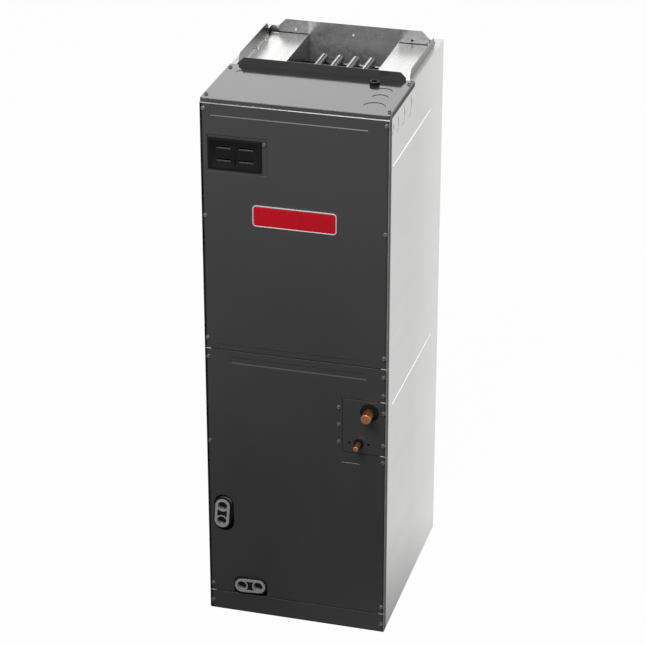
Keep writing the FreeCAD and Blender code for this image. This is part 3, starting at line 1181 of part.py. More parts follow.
def wheel_blades():
    """Forward-curved blades between the wheel's disc and each end ring."""
    def at(radius, degrees):
        a = math.radians(degrees)
        return FreeCAD.Vector(WHEEL_DISC / 2, AXIS_Y + radius * math.cos(a), AXIS_Z + radius * math.sin(a))

    inner = WHEEL_IN + BLADE
    outer = WHEEL_R - BLADE
    middle = (inner + outer) / 2
    thick = math.degrees(BLADE / middle)
    rise = BLADE_SWEEP / 4
    near = Part.Arc(at(inner, 0), at(middle, rise), at(outer, BLADE_SWEEP)).toShape()
    far = Part.Arc(at(outer, BLADE_SWEEP + thick), at(middle, rise + thick), at(inner, thick)).toShape()
    tip = Part.makeLine(at(outer, BLADE_SWEEP), at(outer, BLADE_SWEEP + thick))
    root = Part.makeLine(at(inner, thick), at(inner, 0))
    reach = WHEEL_X - WHEEL_RING - WHEEL_DISC / 2
    blade = Part.Face(Part.Wire([near, tip, far, root])).extrude(FreeCAD.Vector(reach, 0, 0))
    blades = []
    for i in range(BLADES):
        copy = blade.copy()
        copy.rotate(FreeCAD.Vector(0, AXIS_Y, AXIS_Z), RIGHT, 360.0 * i / BLADES)
        blades += [copy, mirrored(copy)]
    return blades


def motor_shaft():
    """The shaft through the wheel's hub, with the rotor core on it."""
    left, right = MOTOR_X
    bar = wheel_bar((-HUB_X - SHAFT_END, right - MOTOR_CAP / 2), SHAFT_R)
    core = wheel_bar((left + MOTOR_CAP + CORE_END, right - MOTOR_CAP - CORE_END), CORE_R)
    return join([bar, core])


def motor_shell():
    """The motor's shell with its stator, and a bearing at each end."""
    left, right = MOTOR_X
    body = wheel_bar(MOTOR_X, MOTOR_R)
    rims = [e for e in body.Edges if e.BoundBox.XLength < FIT]
    body = body.makeFillet(MOTOR_CAP / 2, rims)
    space = wheel_bar((left + MOTOR_CAP, right - MOTOR_CAP), CORE_R + BORE_GAP)
    bearing = wheel_bar((left - SHEET, right - MOTOR_CAP / 3), SHAFT_R + SHAFT_GAP)
    return body.cut([space, bearing])


def motor_module():
    """The motor's electronics housing on its outer end."""
    right = MOTOR_X[1]
    body = wheel_bar((right, right + MODULE_LENGTH), MODULE_R)
    rims = [e for e in body.Edges if e.BoundBox.XLength < FIT and e.BoundBox.XMin > right + FIT]
    return body.makeFillet(MOTOR_CAP, rims)


def motor_mount():
    """A belly band round the motor with three arms to the blower's side plate."""
    face = OUTLET_X + SHEET
    band_r = MOTOR_R + BAND_GAP
    band = wheel_ring((face, face + BAND_X), band_r + BAND, band_r)
    pieces = [band]
    width, thick = ARM
    for i in range(3):
        arm = block((face, face + thick), (AXIS_Y - width / 2, AXIS_Y + width / 2),
                    (AXIS_Z + band_r + BAND / 2, AXIS_Z + INLET_R + ARM_OVER))
        arm.rotate(FreeCAD.Vector(0, AXIS_Y, AXIS_Z), RIGHT, 120.0 * i)
        pieces.append(arm)
    return join(pieces)


# Heater and controls

def heater_rack():
    """The plate that closes the front of the outlet, and two rods under the heater tubes."""
    y = COVER_END_Y - SHEET
    sheet = block((-HEATER_PLATE_X, HEATER_PLATE_X), (y, COVER_END_Y), (DECK_TOP, TOP_IN - FIT))
    holes = [rod((x, y - SHEET, HEATER_Z), BACK, BUSH_R, 3 * SHEET) for x in HEATER_X]
    z = HEATER_Z - HEATER_R - HEATER_ROD_R - FIT
    length = 2 * (OUTLET_X - FIT)
    rods = [rod((-length / 2, a, z), ACROSS, HEATER_ROD_R, length) for a in HEATER_ROD_Y]
    return [sheet.cut(holes)] + rods


def heater_tubes():
    """Four straight heater tubes with rounded ends."""
    tubes = []
    for x in HEATER_X:
        tube = rod((x, HEATER_Y[0], HEATER_Z), BACK, HEATER_R, HEATER_Y[1] - HEATER_Y[0])
        ends = [e for e in tube.Edges if e.BoundBox.YLength < FIT]
        tubes.append(tube.makeFillet(HEATER_TIP, ends))
    return tubes


def heater_bushings():
    """Ceramic collars that carry the tubes in the heater plate."""
    front = COVER_END_Y - SHEET
    collars = []
    for x in HEATER_X:
        face = rod((x, front - BUSH_FACE, HEATER_Z), BACK, BUSH_R + BUSH_RIM, BUSH_FACE)
        neck = rod((x, front, HEATER_Z), BACK, BUSH_R - FIT, SHEET + BUSH_FACE)
        hole = rod((x, front - 2 * BUSH_FACE, HEATER_Z), BACK, HEATER_R + BUSH_GAP, 5 * BUSH_FACE)
        collars.append(join([face, neck]).cut(hole))
    return collars


def control_bracket():
    """The upright plate that carries the controls, on a foot on the deck."""
    sheet = block(BRACKET_X, (BRACKET_Y, BRACKET_Y + SHEET), (DECK_TOP, BRACKET_Z))
    foot = block(BRACKET_X, (BRACKET_Y, BRACKET_Y + BRACKET_FOOT), (DECK_TOP, DECK_TOP + SHEET))
    return join([sheet, foot])


def control_board():
    """A circuit board on four posts, with a terminal strip and two relays."""
    rear = BRACKET_Y - STANDOFF
    face = rear - BOARD
    board = block(BOARD_X, (face, rear), BOARD_Z)
    corners = [(x, z) for x in (BOARD_X[0] + POST_IN, BOARD_X[1] - POST_IN)
               for z in (BOARD_Z[0] + POST_IN, BOARD_Z[1] - POST_IN)]
    posts = [rod((x, rear, z), BACK, POST_R, STANDOFF) for x, z in corners]
    inset, height, depth = TERMINALS
    low = BOARD_Z[0] + POST_IN
    strip = block((BOARD_X[0] + inset, BOARD_X[1] - inset), (face - depth, face), (low, low + height))
    width, height, depth = RELAY
    top = BOARD_Z[1] - RELAY_DROP
    relays = [block((x, x + width), (face - depth, face), (top - height, top))
              for x in (BOARD_X[0] + RELAY_IN[0], BOARD_X[1] - RELAY_IN[1] - width)]
    return join([board, strip] + posts + relays)


def transformer():
    """A core with a wound bobbin through it."""
    x, z = TRANSFORMER_X, TRANSFORMER_Z
    face = BRACKET_Y - TRANSFORMER_SIZE[1]
    core = block(x, (face, BRACKET_Y), z)
    bobbin = block((x[0] + BOBBIN_IN, x[1] - BOBBIN_IN), (face - BOBBIN_IN, BRACKET_Y),
                   (z[0] + BOBBIN_IN, z[1] - BOBBIN_IN))
    return join([core, bobbin])


def breaker_block():
    """The heater's breakers behind their cover, with two handles."""
    body = block(BREAKER_BLOCK_X, (BREAKER_BLOCK_Y, BRACKET_Y), BREAKER_BLOCK_Z)
    middle = sum(BREAKER_BLOCK_X) / 2
    centre = sum(BREAKER_BLOCK_Z) / 2
    half = SLOT[1] / 2
    y = (BREAKER_BLOCK_Y - half, BREAKER_BLOCK_Y)
    z = (centre - half, centre + half)
    handles = [block((x - half, x + half), y, z) for x in (middle - SLOT_X, middle + SLOT_X)]
    return join([body] + handles)


os.makedirs("parts", exist_ok=True)

save("left_side_panel", side_panel(-1))
save("right_side_panel", side_panel(1))
save("back_panel", back_panel())
save("base_pan", base_pan())
save("top_front_rail", top_front_rail())
save("top_cover", top_cover())
save("top_cover_screws", *[screw(p, UP) for p in COVER_POINTS])
save("wire_bushing", wire_bushing())
save("left_outlet_ledge", outlet_ledge(-1))
save("right_outlet_ledge", outlet_ledge(1))
save("rear_outlet_wall", rear_outlet_wall())
save("insulation_liners", *liners())
save("blower_deck", blower_deck())

save("upper_access_panel", upper_access_panel())
save("upper_panel_screws", *[screw(p, OUT) for p in UPPER_POINTS + [BREAKER_POINT]])
save("breaker_cover", breaker_cover())
save("name_plate", name_plate())
save("lower_access_panel", lower_access_panel())
save("lower_panel_screws", *[screw(p, OUT) for p in LOWER_POINTS + STRAP_POINTS])
save("tubing_panel", tubing_panel())
save("tubing_panel_screws", *[screw(p, OUT) for p in TUBING_POINTS])
save("suction_grommet", grommet(SUCTION_X, SUCTION_Z, SUCTION_GROMMET, SUCTION_R))
save("liquid_grommet", grommet(LIQUID_X, LIQUID_Z, LIQUID_GROMMET, LIQUID_R))
save("tubing_frame", tubing_frame())
save("filter_access_panel", drill(front_panel((-PANEL_X, PANEL_X), FILTER_PANEL), FILTER_POINTS, OUT))
save("filter_panel_screws", *[screw(p, OUT) for p in FILTER_POINTS])

save("coil_rails", *coil_rails())
save("upflow_drain_pan", upflow_pan())
save("upflow_drain_fitting", drain_fitting(LOW_FITTING, LOW_TILT, PAN_Y[0]))
save("side_drain_pan", side_pan())
save("side_drain_fitting", drain_fitting(SIDE_FITTING, SIDE_TILT, SIDE_PAN_Y[0]))
save("left_coil_slab", coil_slab(-1))
save("right_coil_slab", coil_slab(1))
save("coil_end_plates", *(end_plates(-1) + end_plates(1)))
save("return_bends", *(return_bends(-1) + return_bends(1)))
save("delta_plates", *delta_plates())
save("apex_baffle", apex_baffle())
save("suction_line", suction_line())
save("liquid_line", liquid_line())
save("expansion_valve", expansion_valve())
save("distributor", distributor())

save("filter_rails", *filter_rails())
save("filter_frame", filter_frame())
save("filter_media", filter_media())

save("blower_scroll", blower_scroll())
save("blower_left_side", blower_side(-1))
save("blower_right_side", blower_side(1))
save("blower_wheel", *blower_wheel())
save("wheel_blades", *wheel_blades())
save("motor_shaft", motor_shaft())
save("motor_shell", motor_shell())
save("motor_module", motor_module())
save("motor_mount", motor_mount())

save("heater_rack", *heater_rack())
save("heater_tubes", *heater_tubes())
save("heater_bushings", *heater_bushings())
save("control_bracket", control_bracket())
save("control_board", control_board())
save("transformer", transformer())
save("breaker_block", breaker_block())
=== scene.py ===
# %% [markdown]
# # An upright air handler, dressed for its portrait
# A tall sheet metal cabinet: dark painted front panels, bare galvanised sides, a glossy top cover and an
# open outlet with heater tubes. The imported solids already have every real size, so the lesson is about
# looks: a camera, a white studio, one finish for each real material, and the small pieces that are nicer by
# hand.

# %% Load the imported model
import json
import math

import bmesh
import bpy
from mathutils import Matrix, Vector

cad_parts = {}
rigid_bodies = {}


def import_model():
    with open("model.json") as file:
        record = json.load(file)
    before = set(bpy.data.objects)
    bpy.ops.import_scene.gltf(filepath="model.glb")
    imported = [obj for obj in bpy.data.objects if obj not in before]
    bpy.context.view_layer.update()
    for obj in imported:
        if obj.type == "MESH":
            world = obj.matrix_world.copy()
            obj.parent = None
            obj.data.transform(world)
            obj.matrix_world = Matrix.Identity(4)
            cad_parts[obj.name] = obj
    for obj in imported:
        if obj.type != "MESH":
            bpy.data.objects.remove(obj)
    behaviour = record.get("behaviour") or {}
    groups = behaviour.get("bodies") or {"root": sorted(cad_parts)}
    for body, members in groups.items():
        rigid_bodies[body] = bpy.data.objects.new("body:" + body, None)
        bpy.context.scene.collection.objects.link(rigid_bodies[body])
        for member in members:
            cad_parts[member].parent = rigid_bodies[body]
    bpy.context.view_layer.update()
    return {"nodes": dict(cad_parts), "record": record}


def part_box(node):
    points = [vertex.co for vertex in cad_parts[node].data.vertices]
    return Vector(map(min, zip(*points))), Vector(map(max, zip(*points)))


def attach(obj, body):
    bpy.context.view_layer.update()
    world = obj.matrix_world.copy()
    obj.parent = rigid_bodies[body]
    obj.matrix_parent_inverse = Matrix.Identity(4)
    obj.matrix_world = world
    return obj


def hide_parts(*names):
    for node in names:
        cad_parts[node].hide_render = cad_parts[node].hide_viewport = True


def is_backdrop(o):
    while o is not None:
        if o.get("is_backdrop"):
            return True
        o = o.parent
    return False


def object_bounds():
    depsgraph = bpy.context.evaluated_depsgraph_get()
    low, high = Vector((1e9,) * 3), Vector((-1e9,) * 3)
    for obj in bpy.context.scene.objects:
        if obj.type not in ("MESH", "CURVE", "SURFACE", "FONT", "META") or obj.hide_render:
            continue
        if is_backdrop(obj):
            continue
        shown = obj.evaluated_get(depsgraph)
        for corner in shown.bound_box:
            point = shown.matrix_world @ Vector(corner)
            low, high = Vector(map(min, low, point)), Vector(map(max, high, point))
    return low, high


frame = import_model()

nodes = frame["nodes"]

# %% [markdown]
# ## Camera
# The picture is taken from the right of the front, well above the cabinet, with a long lens, so that
# upright edges lean together only a little. The place, the tilt and the lens come from lining up the
# cabinet's corners. Camera angles are easiest as two turns: tilt about X from straight down, then a turn
# about Z.

# %% Place the camera
CAMERA_AT = (1.47259, -5.33351, 3.37427)
CAMERA_DOWN = 25.858
CAMERA_TURN = 15.498
LENS_MM = 139.495

bpy.ops.object.select_all(action="DESELECT")
bpy.ops.object.camera_add(location=CAMERA_AT)
camera = bpy.context.object
camera.name = "camera"
camera.rotation_euler = (math.radians(90 - CAMERA_DOWN), 0, math.radians(CAMERA_TURN))
camera.data.sensor_width = 36.0
camera.data.lens = LENS_MM
bpy.context.scene.camera = camera
bpy.context.scene.view_settings.view_transform = "Standard"
print("camera", LENS_MM, "mm, tilted", CAMERA_DOWN, "degrees down")

# %% [markdown]
# ## White studio
# The cabinet stands on a white sweep. A floor that is only lit would turn grey, and more lamps would wash
# the dark paint out, so the floor shows most of its white by itself to the camera, and keeps a share of
# real light for the shadow. Its brightness in reflections is painted along the ground: brightest behind the
# cabinet on the right and darkest round its front foot. This painted reflection makes the front panels fade
# downwards and keeps the side sheet pale.

# %% Floor and world
X, Y, Z = range(3)
FLOOR_SIZE = 60.0
FLOOR_DROP = 0.0002
FLOOR_WHITE = 0.9
FLOOR_GLOW = 1.09
FLOOR_GREY = (0.16, 0.16, 0.16, 1)
# Painted reflection: how bright the floor looks in reflections, set by place along the ground
PAINTED_MIRROR_SHARES = ((-4.0, 0.55), (-1.9, 0.12), (-0.7, 0.03), (-0.4, 0.06), (0.5, 1.0))
MIRROR_SKEW = 0.7
WORLD_LIGHT = 0.16
WORLD_TINT = (0.96, 0.98, 1.0, 1)


def link(tree, source, target):
    """Joins an output socket to an input socket."""
    tree.links.new(source, target)


def math_node(tree, operation, first, second):
    """A Math node; each input is a socket or a number."""
    node = tree.nodes.new("ShaderNodeMath")
    node.operation = operation
    for socket, value in zip(node.inputs, (first, second)):
        if isinstance(value, (int, float)):
            socket.default_value = value
        else:
            link(tree, value, socket)
    return node.outputs[0]


def ramp(tree, source, *stops):
    """A colour ramp; each stop is a place from 0 to 1 and a colour or a grey."""
    node = tree.nodes.new("ShaderNodeValToRGB")
    bar = node.color_ramp
    while len(bar.elements) < len(stops):
        bar.elements.new(1.0)
    for element, (place, colour) in zip(bar.elements, stops):
        element.position = place
        element.color = (colour, colour, colour, 1) if isinstance(colour, float) else (*colour, 1)
    link(tree, source, node.inputs[0])
    return node.outputs[0]


def axes(tree):
    """Object coordinates as three sockets: X, Y and Z."""
    coordinates = tree.nodes.new("ShaderNodeTexCoord")
    split = tree.nodes.new("ShaderNodeSeparateXYZ")
    link(tree, coordinates.outputs["Object"], split.inputs[0])
    return split.outputs


def sweep(tree):
    """Painted reflection: the floor's share in reflections, dark round the front foot, bright at the back
    right.
    """
    spot = axes(tree)
    along = math_node(tree, "ADD", spot[Y], math_node(tree, "MULTIPLY", spot[X], MIRROR_SKEW))
    low, high = PAINTED_MIRROR_SHARES[0][0], PAINTED_MIRROR_SHARES[-1][0]
    share = math_node(tree, "DIVIDE", math_node(tree, "SUBTRACT", along, low), high - low)
    return ramp(tree, share, *[((place - low) / (high - low), white) for place, white in PAINTED_MIRROR_SHARES])


def seen_share(tree, to_camera, to_mirrors):
    """How much of a surface shows by itself: one share for the camera, another for reflections."""
    path = tree.nodes.new("ShaderNodeLightPath")
    mirrored = math_node(tree, "MAXIMUM", path.outputs["Is Glossy Ray"], path.outputs["Is Transmission Ray"])
    mirrored = math_node(tree, "MULTIPLY", mirrored, to_mirrors)
    direct = math_node(tree, "MULTIPLY", path.outputs["Is Camera Ray"], to_camera)
    return math_node(tree, "MAXIMUM", direct, mirrored)


def show_mix(tree, share, lit, shown, output):
    """Sends a mix of a lit and a self-lit shader to an output node."""
    mix = tree.nodes.new("ShaderNodeMixShader")
    for source, socket in zip((share, lit.outputs[0], shown.outputs[0]), mix.inputs):
        link(tree, source, socket)
    link(tree, mix.outputs[0], tree.nodes.new(output).inputs["Surface"])


def make_floor():
    """A wide white floor that keeps a soft shadow."""
    bpy.ops.object.select_all(action="DESELECT")
    bpy.ops.mesh.primitive_plane_add(size=FLOOR_SIZE, location=(0, 0, -FLOOR_DROP))
    floor = bpy.context.object
    floor.name = "studio_floor"
    white = bpy.data.materials.new("studio_white")
    white.use_nodes = True
    tree = white.node_tree
    tree.nodes.clear()
    lit = tree.nodes.new("ShaderNodeBsdfDiffuse")
    lit.inputs["Color"].default_value = FLOOR_GREY
    glow = tree.nodes.new("ShaderNodeEmission")
    glow.inputs["Strength"].default_value = FLOOR_GLOW
    share = seen_share(tree, FLOOR_WHITE, sweep(tree))
    show_mix(tree, share, lit, glow, "ShaderNodeOutputMaterial")
    floor.data.materials.append(white)
    floor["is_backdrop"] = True


def make_world():
    """White where it is looked at, dimmer where it lights."""
    world = bpy.data.worlds.new("studio_world")
    bpy.context.scene.world = world
    world.use_nodes = True
    tree = world.node_tree
    tree.nodes.clear()
    dim = tree.nodes.new("ShaderNodeBackground")
    dim.inputs["Color"].default_value = WORLD_TINT
    dim.inputs["Strength"].default_value = WORLD_LIGHT
    white = tree.nodes.new("ShaderNodeBackground")
    white.inputs["Color"].default_value = (1, 1, 1, 1)
    show_mix(tree, seen_share(tree, 1.0, 1.0), dim, white, "ShaderNodeOutputWorld")


make_floor()
make_world()
print("floor", FLOOR_SIZE, "m, world light", WORLD_LIGHT)

# %% [markdown]
# ## Lamps
# One soft box does most of the work. It hangs close in front and high up, so the panels are paler at the
# top than at the foot. The one behind hardly lights the front at all: it lifts the lid, the ledges and the
# edges.

# %% Soft boxes
def soft_box(name, at, aim, width, height, watts):
    """A rectangular area lamp pointed at a place."""
    bpy.ops.object.select_all(action="DESELECT")
    bpy.ops.object.light_add(type="AREA", location=at)
    lamp = bpy.context.object
    lamp.name = name
    lamp.data.shape = "RECTANGLE"
    lamp.data.size = width
    lamp.data.size_y = height
    lamp.data.energy = watts
    lamp.rotation_euler = (Vector(aim) - Vector(at)).to_track_quat("-Z", "Y").to_euler()
    print(name, watts, "W")


soft_box("front_box", (-0.3, -2.6, 3.4), (0, -0.27, 1.2), 2.0, 1.2, 96)
soft_box("back_box", (0.2, 4.4, 3.5), (0, 0.0, 1.36), 6.0, 3.0, 66)

# %% [markdown]
# ## How a finish is built
# Every finish is one Principled shader with three things driven by patterns: colour, roughness and a little
# bump. The patterns read Object coordinates, which are metres in the cabinet's own frame, so a scale of 100
# means detail about a centimetre across on every piece. Values that are the same all over sit on the
# shader.

# %% Finish helpers
def start_finish(name, metallic, **sockets):
    """A new material with a Principled shader, its constant values set on its own sockets."""
    made = bpy.data.materials.new(name)
    made.use_nodes = True
    shader = made.node_tree.nodes["Principled BSDF"]
    shader.inputs["Metallic"].default_value = metallic
    for key, value in sockets.items():
        shader.inputs[key.replace("_", " ")].default_value = value
    return made, made.node_tree, shader


def place_on(tree, stretch=(1, 1, 1)):
    """Object coordinates, stretched to turn round patterns into streaks."""
    coordinates = tree.nodes.new("ShaderNodeTexCoord")
    mapping = tree.nodes.new("ShaderNodeMapping")
    mapping.inputs["Scale"].default_value = stretch
    link(tree, coordinates.outputs["Object"], mapping.inputs["Vector"])
    return mapping.outputs["Vector"]


def noise(tree, scale, detail, stretch=(1, 1, 1)):
    """Cloudy noise, as a grey value."""
    node = tree.nodes.new("ShaderNodeTexNoise")
    node.inputs["Scale"].default_value = scale
    node.inputs["Detail"].default_value = detail
    link(tree, place_on(tree, stretch), node.inputs["Vector"])
    return node.outputs[0]


def flakes(tree, scale):
    """Crystals: each cell of a Voronoi pattern has one random grey."""
    node = tree.nodes.new("ShaderNodeTexVoronoi")
    node.inputs["Scale"].default_value = scale
    link(tree, place_on(tree), node.inputs["Vector"])
    share = tree.nodes.new("ShaderNodeSeparateColor")
    link(tree, node.outputs["Color"], share.inputs[0])
    return share.outputs[0]


def blend(tree, amount, first, second, how="MIX"):
    """Two colours mixed by an amount; each may be a socket or a fixed value."""
    node = tree.nodes.new("ShaderNodeMix")
    node.data_type = "RGBA"
    node.blend_type = how
    for index, value in ((0, amount), (6, first), (7, second)):
        socket = node.inputs[index]
        if isinstance(value, (int, float)):
            socket.default_value = value
        elif isinstance(value, tuple):
            socket.default_value = (*value, 1)
        else:
            link(tree, value, socket)
    return node.outputs[2]


def bump(tree, shader, source, strength, depth):
    """Raises the surface by a pattern, to a depth in metres."""
    node = tree.nodes.new("ShaderNodeBump")
    node.inputs["Strength"].default_value = strength
    node.inputs["Distance"].default_value = depth
    link(tree, source, node.inputs["Height"])
    link(tree, node.outputs[0], shader.inputs["Normal"])


def grey(tree, source, low, high):
    """A pattern from 0 to 1 moved to a range of greys."""
    return ramp(tree, source, (0.25, low), (0.75, high))


finishes = {}
print("finish helpers ready")

# %% [markdown]
# ## Painted steel
# The front panels have a dark charcoal powder coat. Close up, powder coat has an orange-peel surface: a
# soft ripple about a millimetre across. Its gloss is uneven in large clouds and upright smears, and a
# little pale dust lies on it. The cover has the same coat, but smooth and glossy, because it mirrors the
# room.

# %% Panel paint
def panel_paint():
    """Dark satin powder coat."""
    made, tree, shader = start_finish("panel_paint", 0.0, IOR=1.5)
    clouds = noise(tree, 3.0, 4.0)
    dust = noise(tree, 260.0, 2.0)
    smears = noise(tree, 14.0, 5.0, (1, 1, 0.25))
    colour = ramp(tree, clouds, (0.3, (0.039, 0.0395, 0.04)), (0.7, (0.047, 0.0473, 0.048)))
    colour = blend(tree, ramp(tree, dust, (0.66, 0.0), (0.8, 0.3)), colour, (0.075, 0.075, 0.076))
    link(tree, colour, shader.inputs["Base Color"])
    gloss = blend(tree, 0.5, grey(tree, smears, 0.3, 0.46), grey(tree, clouds, 0.34, 0.42))
    link(tree, gloss, shader.inputs["Roughness"])
    bump(tree, shader, noise(tree, 900.0, 2.0), 0.12, 0.0002)
    return made


def cover_paint():
    """The same coat, smooth and glossy, on the top cover."""
    made, tree, shader = start_finish("cover_paint", 0.0, IOR=1.54)
    clouds = noise(tree, 5.0, 4.0)
    colour = ramp(tree, clouds, (0.3, (0.042, 0.042, 0.0425)), (0.7, (0.05, 0.05, 0.0505)))
    link(tree, colour, shader.inputs["Base Color"])
    link(tree, grey(tree, noise(tree, 22.0, 5.0), 0.09, 0.15), shader.inputs["Roughness"])
    bump(tree, shader, noise(tree, 500.0, 2.0), 0.03, 0.0001)
    return made


finishes["dark_paint"] = panel_paint()
finishes["cover_paint"] = cover_paint()
print("painted finishes made")

# %% [markdown]
# ## Galvanised steel
# Zinc freezes on the sheet in crystals a few millimetres wide, called spangle. Each crystal mirrors light a
# little differently, so both colour and roughness follow the same cells, and rolling streaks run over all.
# Some sheets carry painted shade along an axis in their colour, standing for darker reflections at one end,
# and each heater tube carries a painted highlight and a painted dark stripe along its length.

# %% Zinc
# Painted highlight and shade on the heater tubes: a pale band, a mirror-bright band, a dull dark band and a
# second bright band
TUBE_PITCH = 0.0394
TUBE_PAINTED_SHADES = ((0.27, 0.6), (0.32, 1.0), (0.49, 1.0), (0.53, 0.2), (0.58, 0.12), (0.62, 0.2), (0.68, 0.5),
               (0.73, 0.1))
TUBE_PAINTED_HIGHLIGHTS = {
    "Metallic": ((0.28, 1.0), (0.31, 0.05), (0.37, 0.05), (0.41, 1.0), (0.49, 1.0), (0.53, 0.05),
                 (0.61, 0.05), (0.65, 1.0)),
    "Specular IOR Level": ((0.49, 0.5), (0.53, 0.02), (0.61, 0.02), (0.66, 0.5)),
}
# The last column holds painted shades: the side sheets' top lip darker and their front darker than their
# back,
# the outlet wall's flange and both ends darker, the ledges' flanges darker, and the heater rack dark at the
# left.
ZINCS = {
    "galvanised": ("galvanised_sheet", (0.47, 0.47, 0.465), (0.35, 0.352, 0.35), 0.34, 0.05),
    "side_sheet": ("side_sheet", (0.63, 0.628, 0.62), (0.59, 0.589, 0.582), 0.36, 0.02, 0.12,
                   [(Z, 1.3555, 1.0, 1.3565, 0.5), (Y, 0.0, 0.87, 0.22, 1.0)]),
    "outlet_wall": ("outlet_wall", (0.7, 0.7, 0.698), 0.55, 0.4, 0.05, 0.7,
                    [(Z, 1.338, 1.0, 1.346, 0.8), (X, -0.118, 0.46, -0.108, 1.0),
                     (X, 0.108, 1.0, 0.118, 0.55)]),
    "outlet_ledge": ("outlet_ledge", (0.46, 0.46, 0.455), (0.37, 0.37, 0.367), 0.26, 0.04, 0.15,
                     [(Z, 1.344, 1.0, 1.348, 0.45)]),
    "rack_sheet": ("rack_sheet", 0.3, 0.22, 0.4, 0.05, 0.5, [(X, -0.05, 0.1, 0.04, 1.0)]),
    "bright_edge": ("bright_edge", (0.52, 0.52, 0.51), (0.46, 0.46, 0.45), 0.4, 0.03, 0.0),
    "badge_rim": ("badge_rim", (0.92, 0.92, 0.93), (0.84, 0.84, 0.85), 0.3, 0.05),
    "screw_steel": ("plated_screw", (0.3, 0.3, 0.305), (0.16, 0.16, 0.165), 0.32, 0.08),
    "heater_metal": ("heater_tube", (0.95, 0.95, 0.96), (0.6, 0.6, 0.61), 0.24, 0.06, 0.25),
}


def shade(tree, colour, axis, start, start_share, end, end_share):
    """Painted shade: multiplies a colour by a share that changes along one axis."""
    along = math_node(tree, "SUBTRACT", axes(tree)[axis], start)
    along = math_node(tree, "DIVIDE", along, end - start)
    return blend(tree, 1.0, colour, ramp(tree, along, (0.0, start_share), (1.0, end_share)), "MULTIPLY")


def zinc(name, pale, dark, rough, spread, crystal=0.5, shades=()):
    """Zinc between two greys; crystal is the share of spangle; each shade is painted shade along an axis."""
    made, tree, shader = start_finish(name, 1.0)
    cells = blend(tree, 0.3, flakes(tree, 170.0), flakes(tree, 520.0))
    streaks = noise(tree, 70.0, 4.0, (1, 0.03, 0.3))
    mixed = blend(tree, 0.45, streaks, noise(tree, 4.0, 4.0))
    mixed = blend(tree, crystal, mixed, cells)
    colour = ramp(tree, mixed, (0.25, dark), (0.75, pale))
    for values in shades:
        colour = shade(tree, colour, *values)
    link(tree, colour, shader.inputs["Base Color"])
    link(tree, grey(tree, mixed, rough + spread, rough - spread), shader.inputs["Roughness"])
    bump(tree, shader, streaks, 0.02, 0.0001)
    return made


def paint_tube_light(made, pitch, shades, stripes):
    """Painted highlight and shade that repeat along X: shades multiply the colour, and each of the stripes
    drives a socket.
    """
    tree = made.node_tree
    sockets = tree.nodes["Principled BSDF"].inputs
    turns = math_node(tree, "DIVIDE", math_node(tree, "ADD", axes(tree)[X], 2 * pitch), pitch)
    share = math_node(tree, "FRACT", turns, 0.0)
    colour = sockets["Base Color"].links[0].from_socket
    link(tree, blend(tree, 1.0, colour, ramp(tree, share, *shades), "MULTIPLY"), sockets["Base Color"])
    for key, stops in stripes.items():
        link(tree, ramp(tree, share, *stops), sockets[key])


for slot, values in ZINCS.items():
    finishes[slot] = zinc(*values)
paint_tube_light(finishes["heater_metal"], TUBE_PITCH, TUBE_PAINTED_SHADES, TUBE_PAINTED_HIGHLIGHTS)
print("zinc finishes made")

# %% [markdown]
# ## Plastics and rubber
# Moulded parts have a fine texture from their mould and a slight unevenness of gloss. Black plastic is
# never quite black: a little light comes back from it, and its gloss adds more. Rubber and gaskets are
# duller. The same recipe with other colours also makes card, filter media, ceramic and enamel, so one
# table lists them all.

# %% Plastics
PLASTICS = {
    "black_plastic": ("black_plastic", (0.006, 0.006, 0.0065), (0.004, 0.004, 0.0045), 0.36, 1500.0, 0.18),
    # Painted highlight: the slot lips are a lighter copy of the black plastic
    "lip_plastic": ("lip_plastic", (0.036, 0.036, 0.037), (0.025, 0.025, 0.026), 0.36, 1500.0),
    "pan_plastic": ("pan_plastic", (0.03, 0.03, 0.032), (0.018, 0.018, 0.02), 0.6, 900.0, 0.1),
    "port_plastic": ("port_plastic", (0.34, 0.34, 0.345), (0.28, 0.28, 0.285), 0.5, 900.0),
    "grey_plastic": ("grey_plastic", 0.42, 0.34, 0.48, 1100.0),
    "rubber": ("grommet_rubber", (0.006, 0.006, 0.0065), (0.003, 0.003, 0.0035), 0.7, 700.0, 0.15),
    "gasket": ("gasket", 0.02, 0.014, 0.7, 900.0, 0.1),
    # Painted light: the cover's right bend drawn mid grey
    "lid_bend": ("lid_bend", 0.2, 0.16, 0.6, 900.0),
    # Painted light: near-white for light showing through two outlet holes
    "hole_light": ("hole_light", 0.9, 0.85, 0.5, 900.0),
    "ceramic": ("ceramic_collar", (0.78, 0.76, 0.7), (0.68, 0.66, 0.6), 0.6, 1300.0),
    "motor_paint": ("motor_paint", (0.03, 0.031, 0.033), (0.02, 0.02, 0.022), 0.4, 600.0),
    "card": ("filter_card", (0.62, 0.54, 0.42), (0.5, 0.43, 0.33), 0.8, 800.0),
    "media": ("filter_media", (0.8, 0.81, 0.83), (0.62, 0.63, 0.66), 0.9, 1400.0),
    "board": ("circuit_board", (0.02, 0.14, 0.05), (0.012, 0.09, 0.03), 0.35, 500.0),
    "badge": ("badge_enamel", (0.6, 0.006, 0.018), (0.52, 0.004, 0.014), 0.3, 300.0, 0.2),
}


def plastic(name, pale, dark, rough, grain, shine=0.5):
    """A moulded plastic with a fine grain."""
    made, tree, shader = start_finish(name, 0.0, IOR=1.5, Specular_IOR_Level=shine)
    clouds = noise(tree, 30.0, 4.0)
    link(tree, ramp(tree, clouds, (0.3, dark), (0.7, pale)), shader.inputs["Base Color"])
    link(tree, grey(tree, noise(tree, 90.0, 4.0), rough - 0.06, rough + 0.06), shader.inputs["Roughness"])
    bump(tree, shader, noise(tree, grain, 2.0), 0.15, 0.0001)
    return made


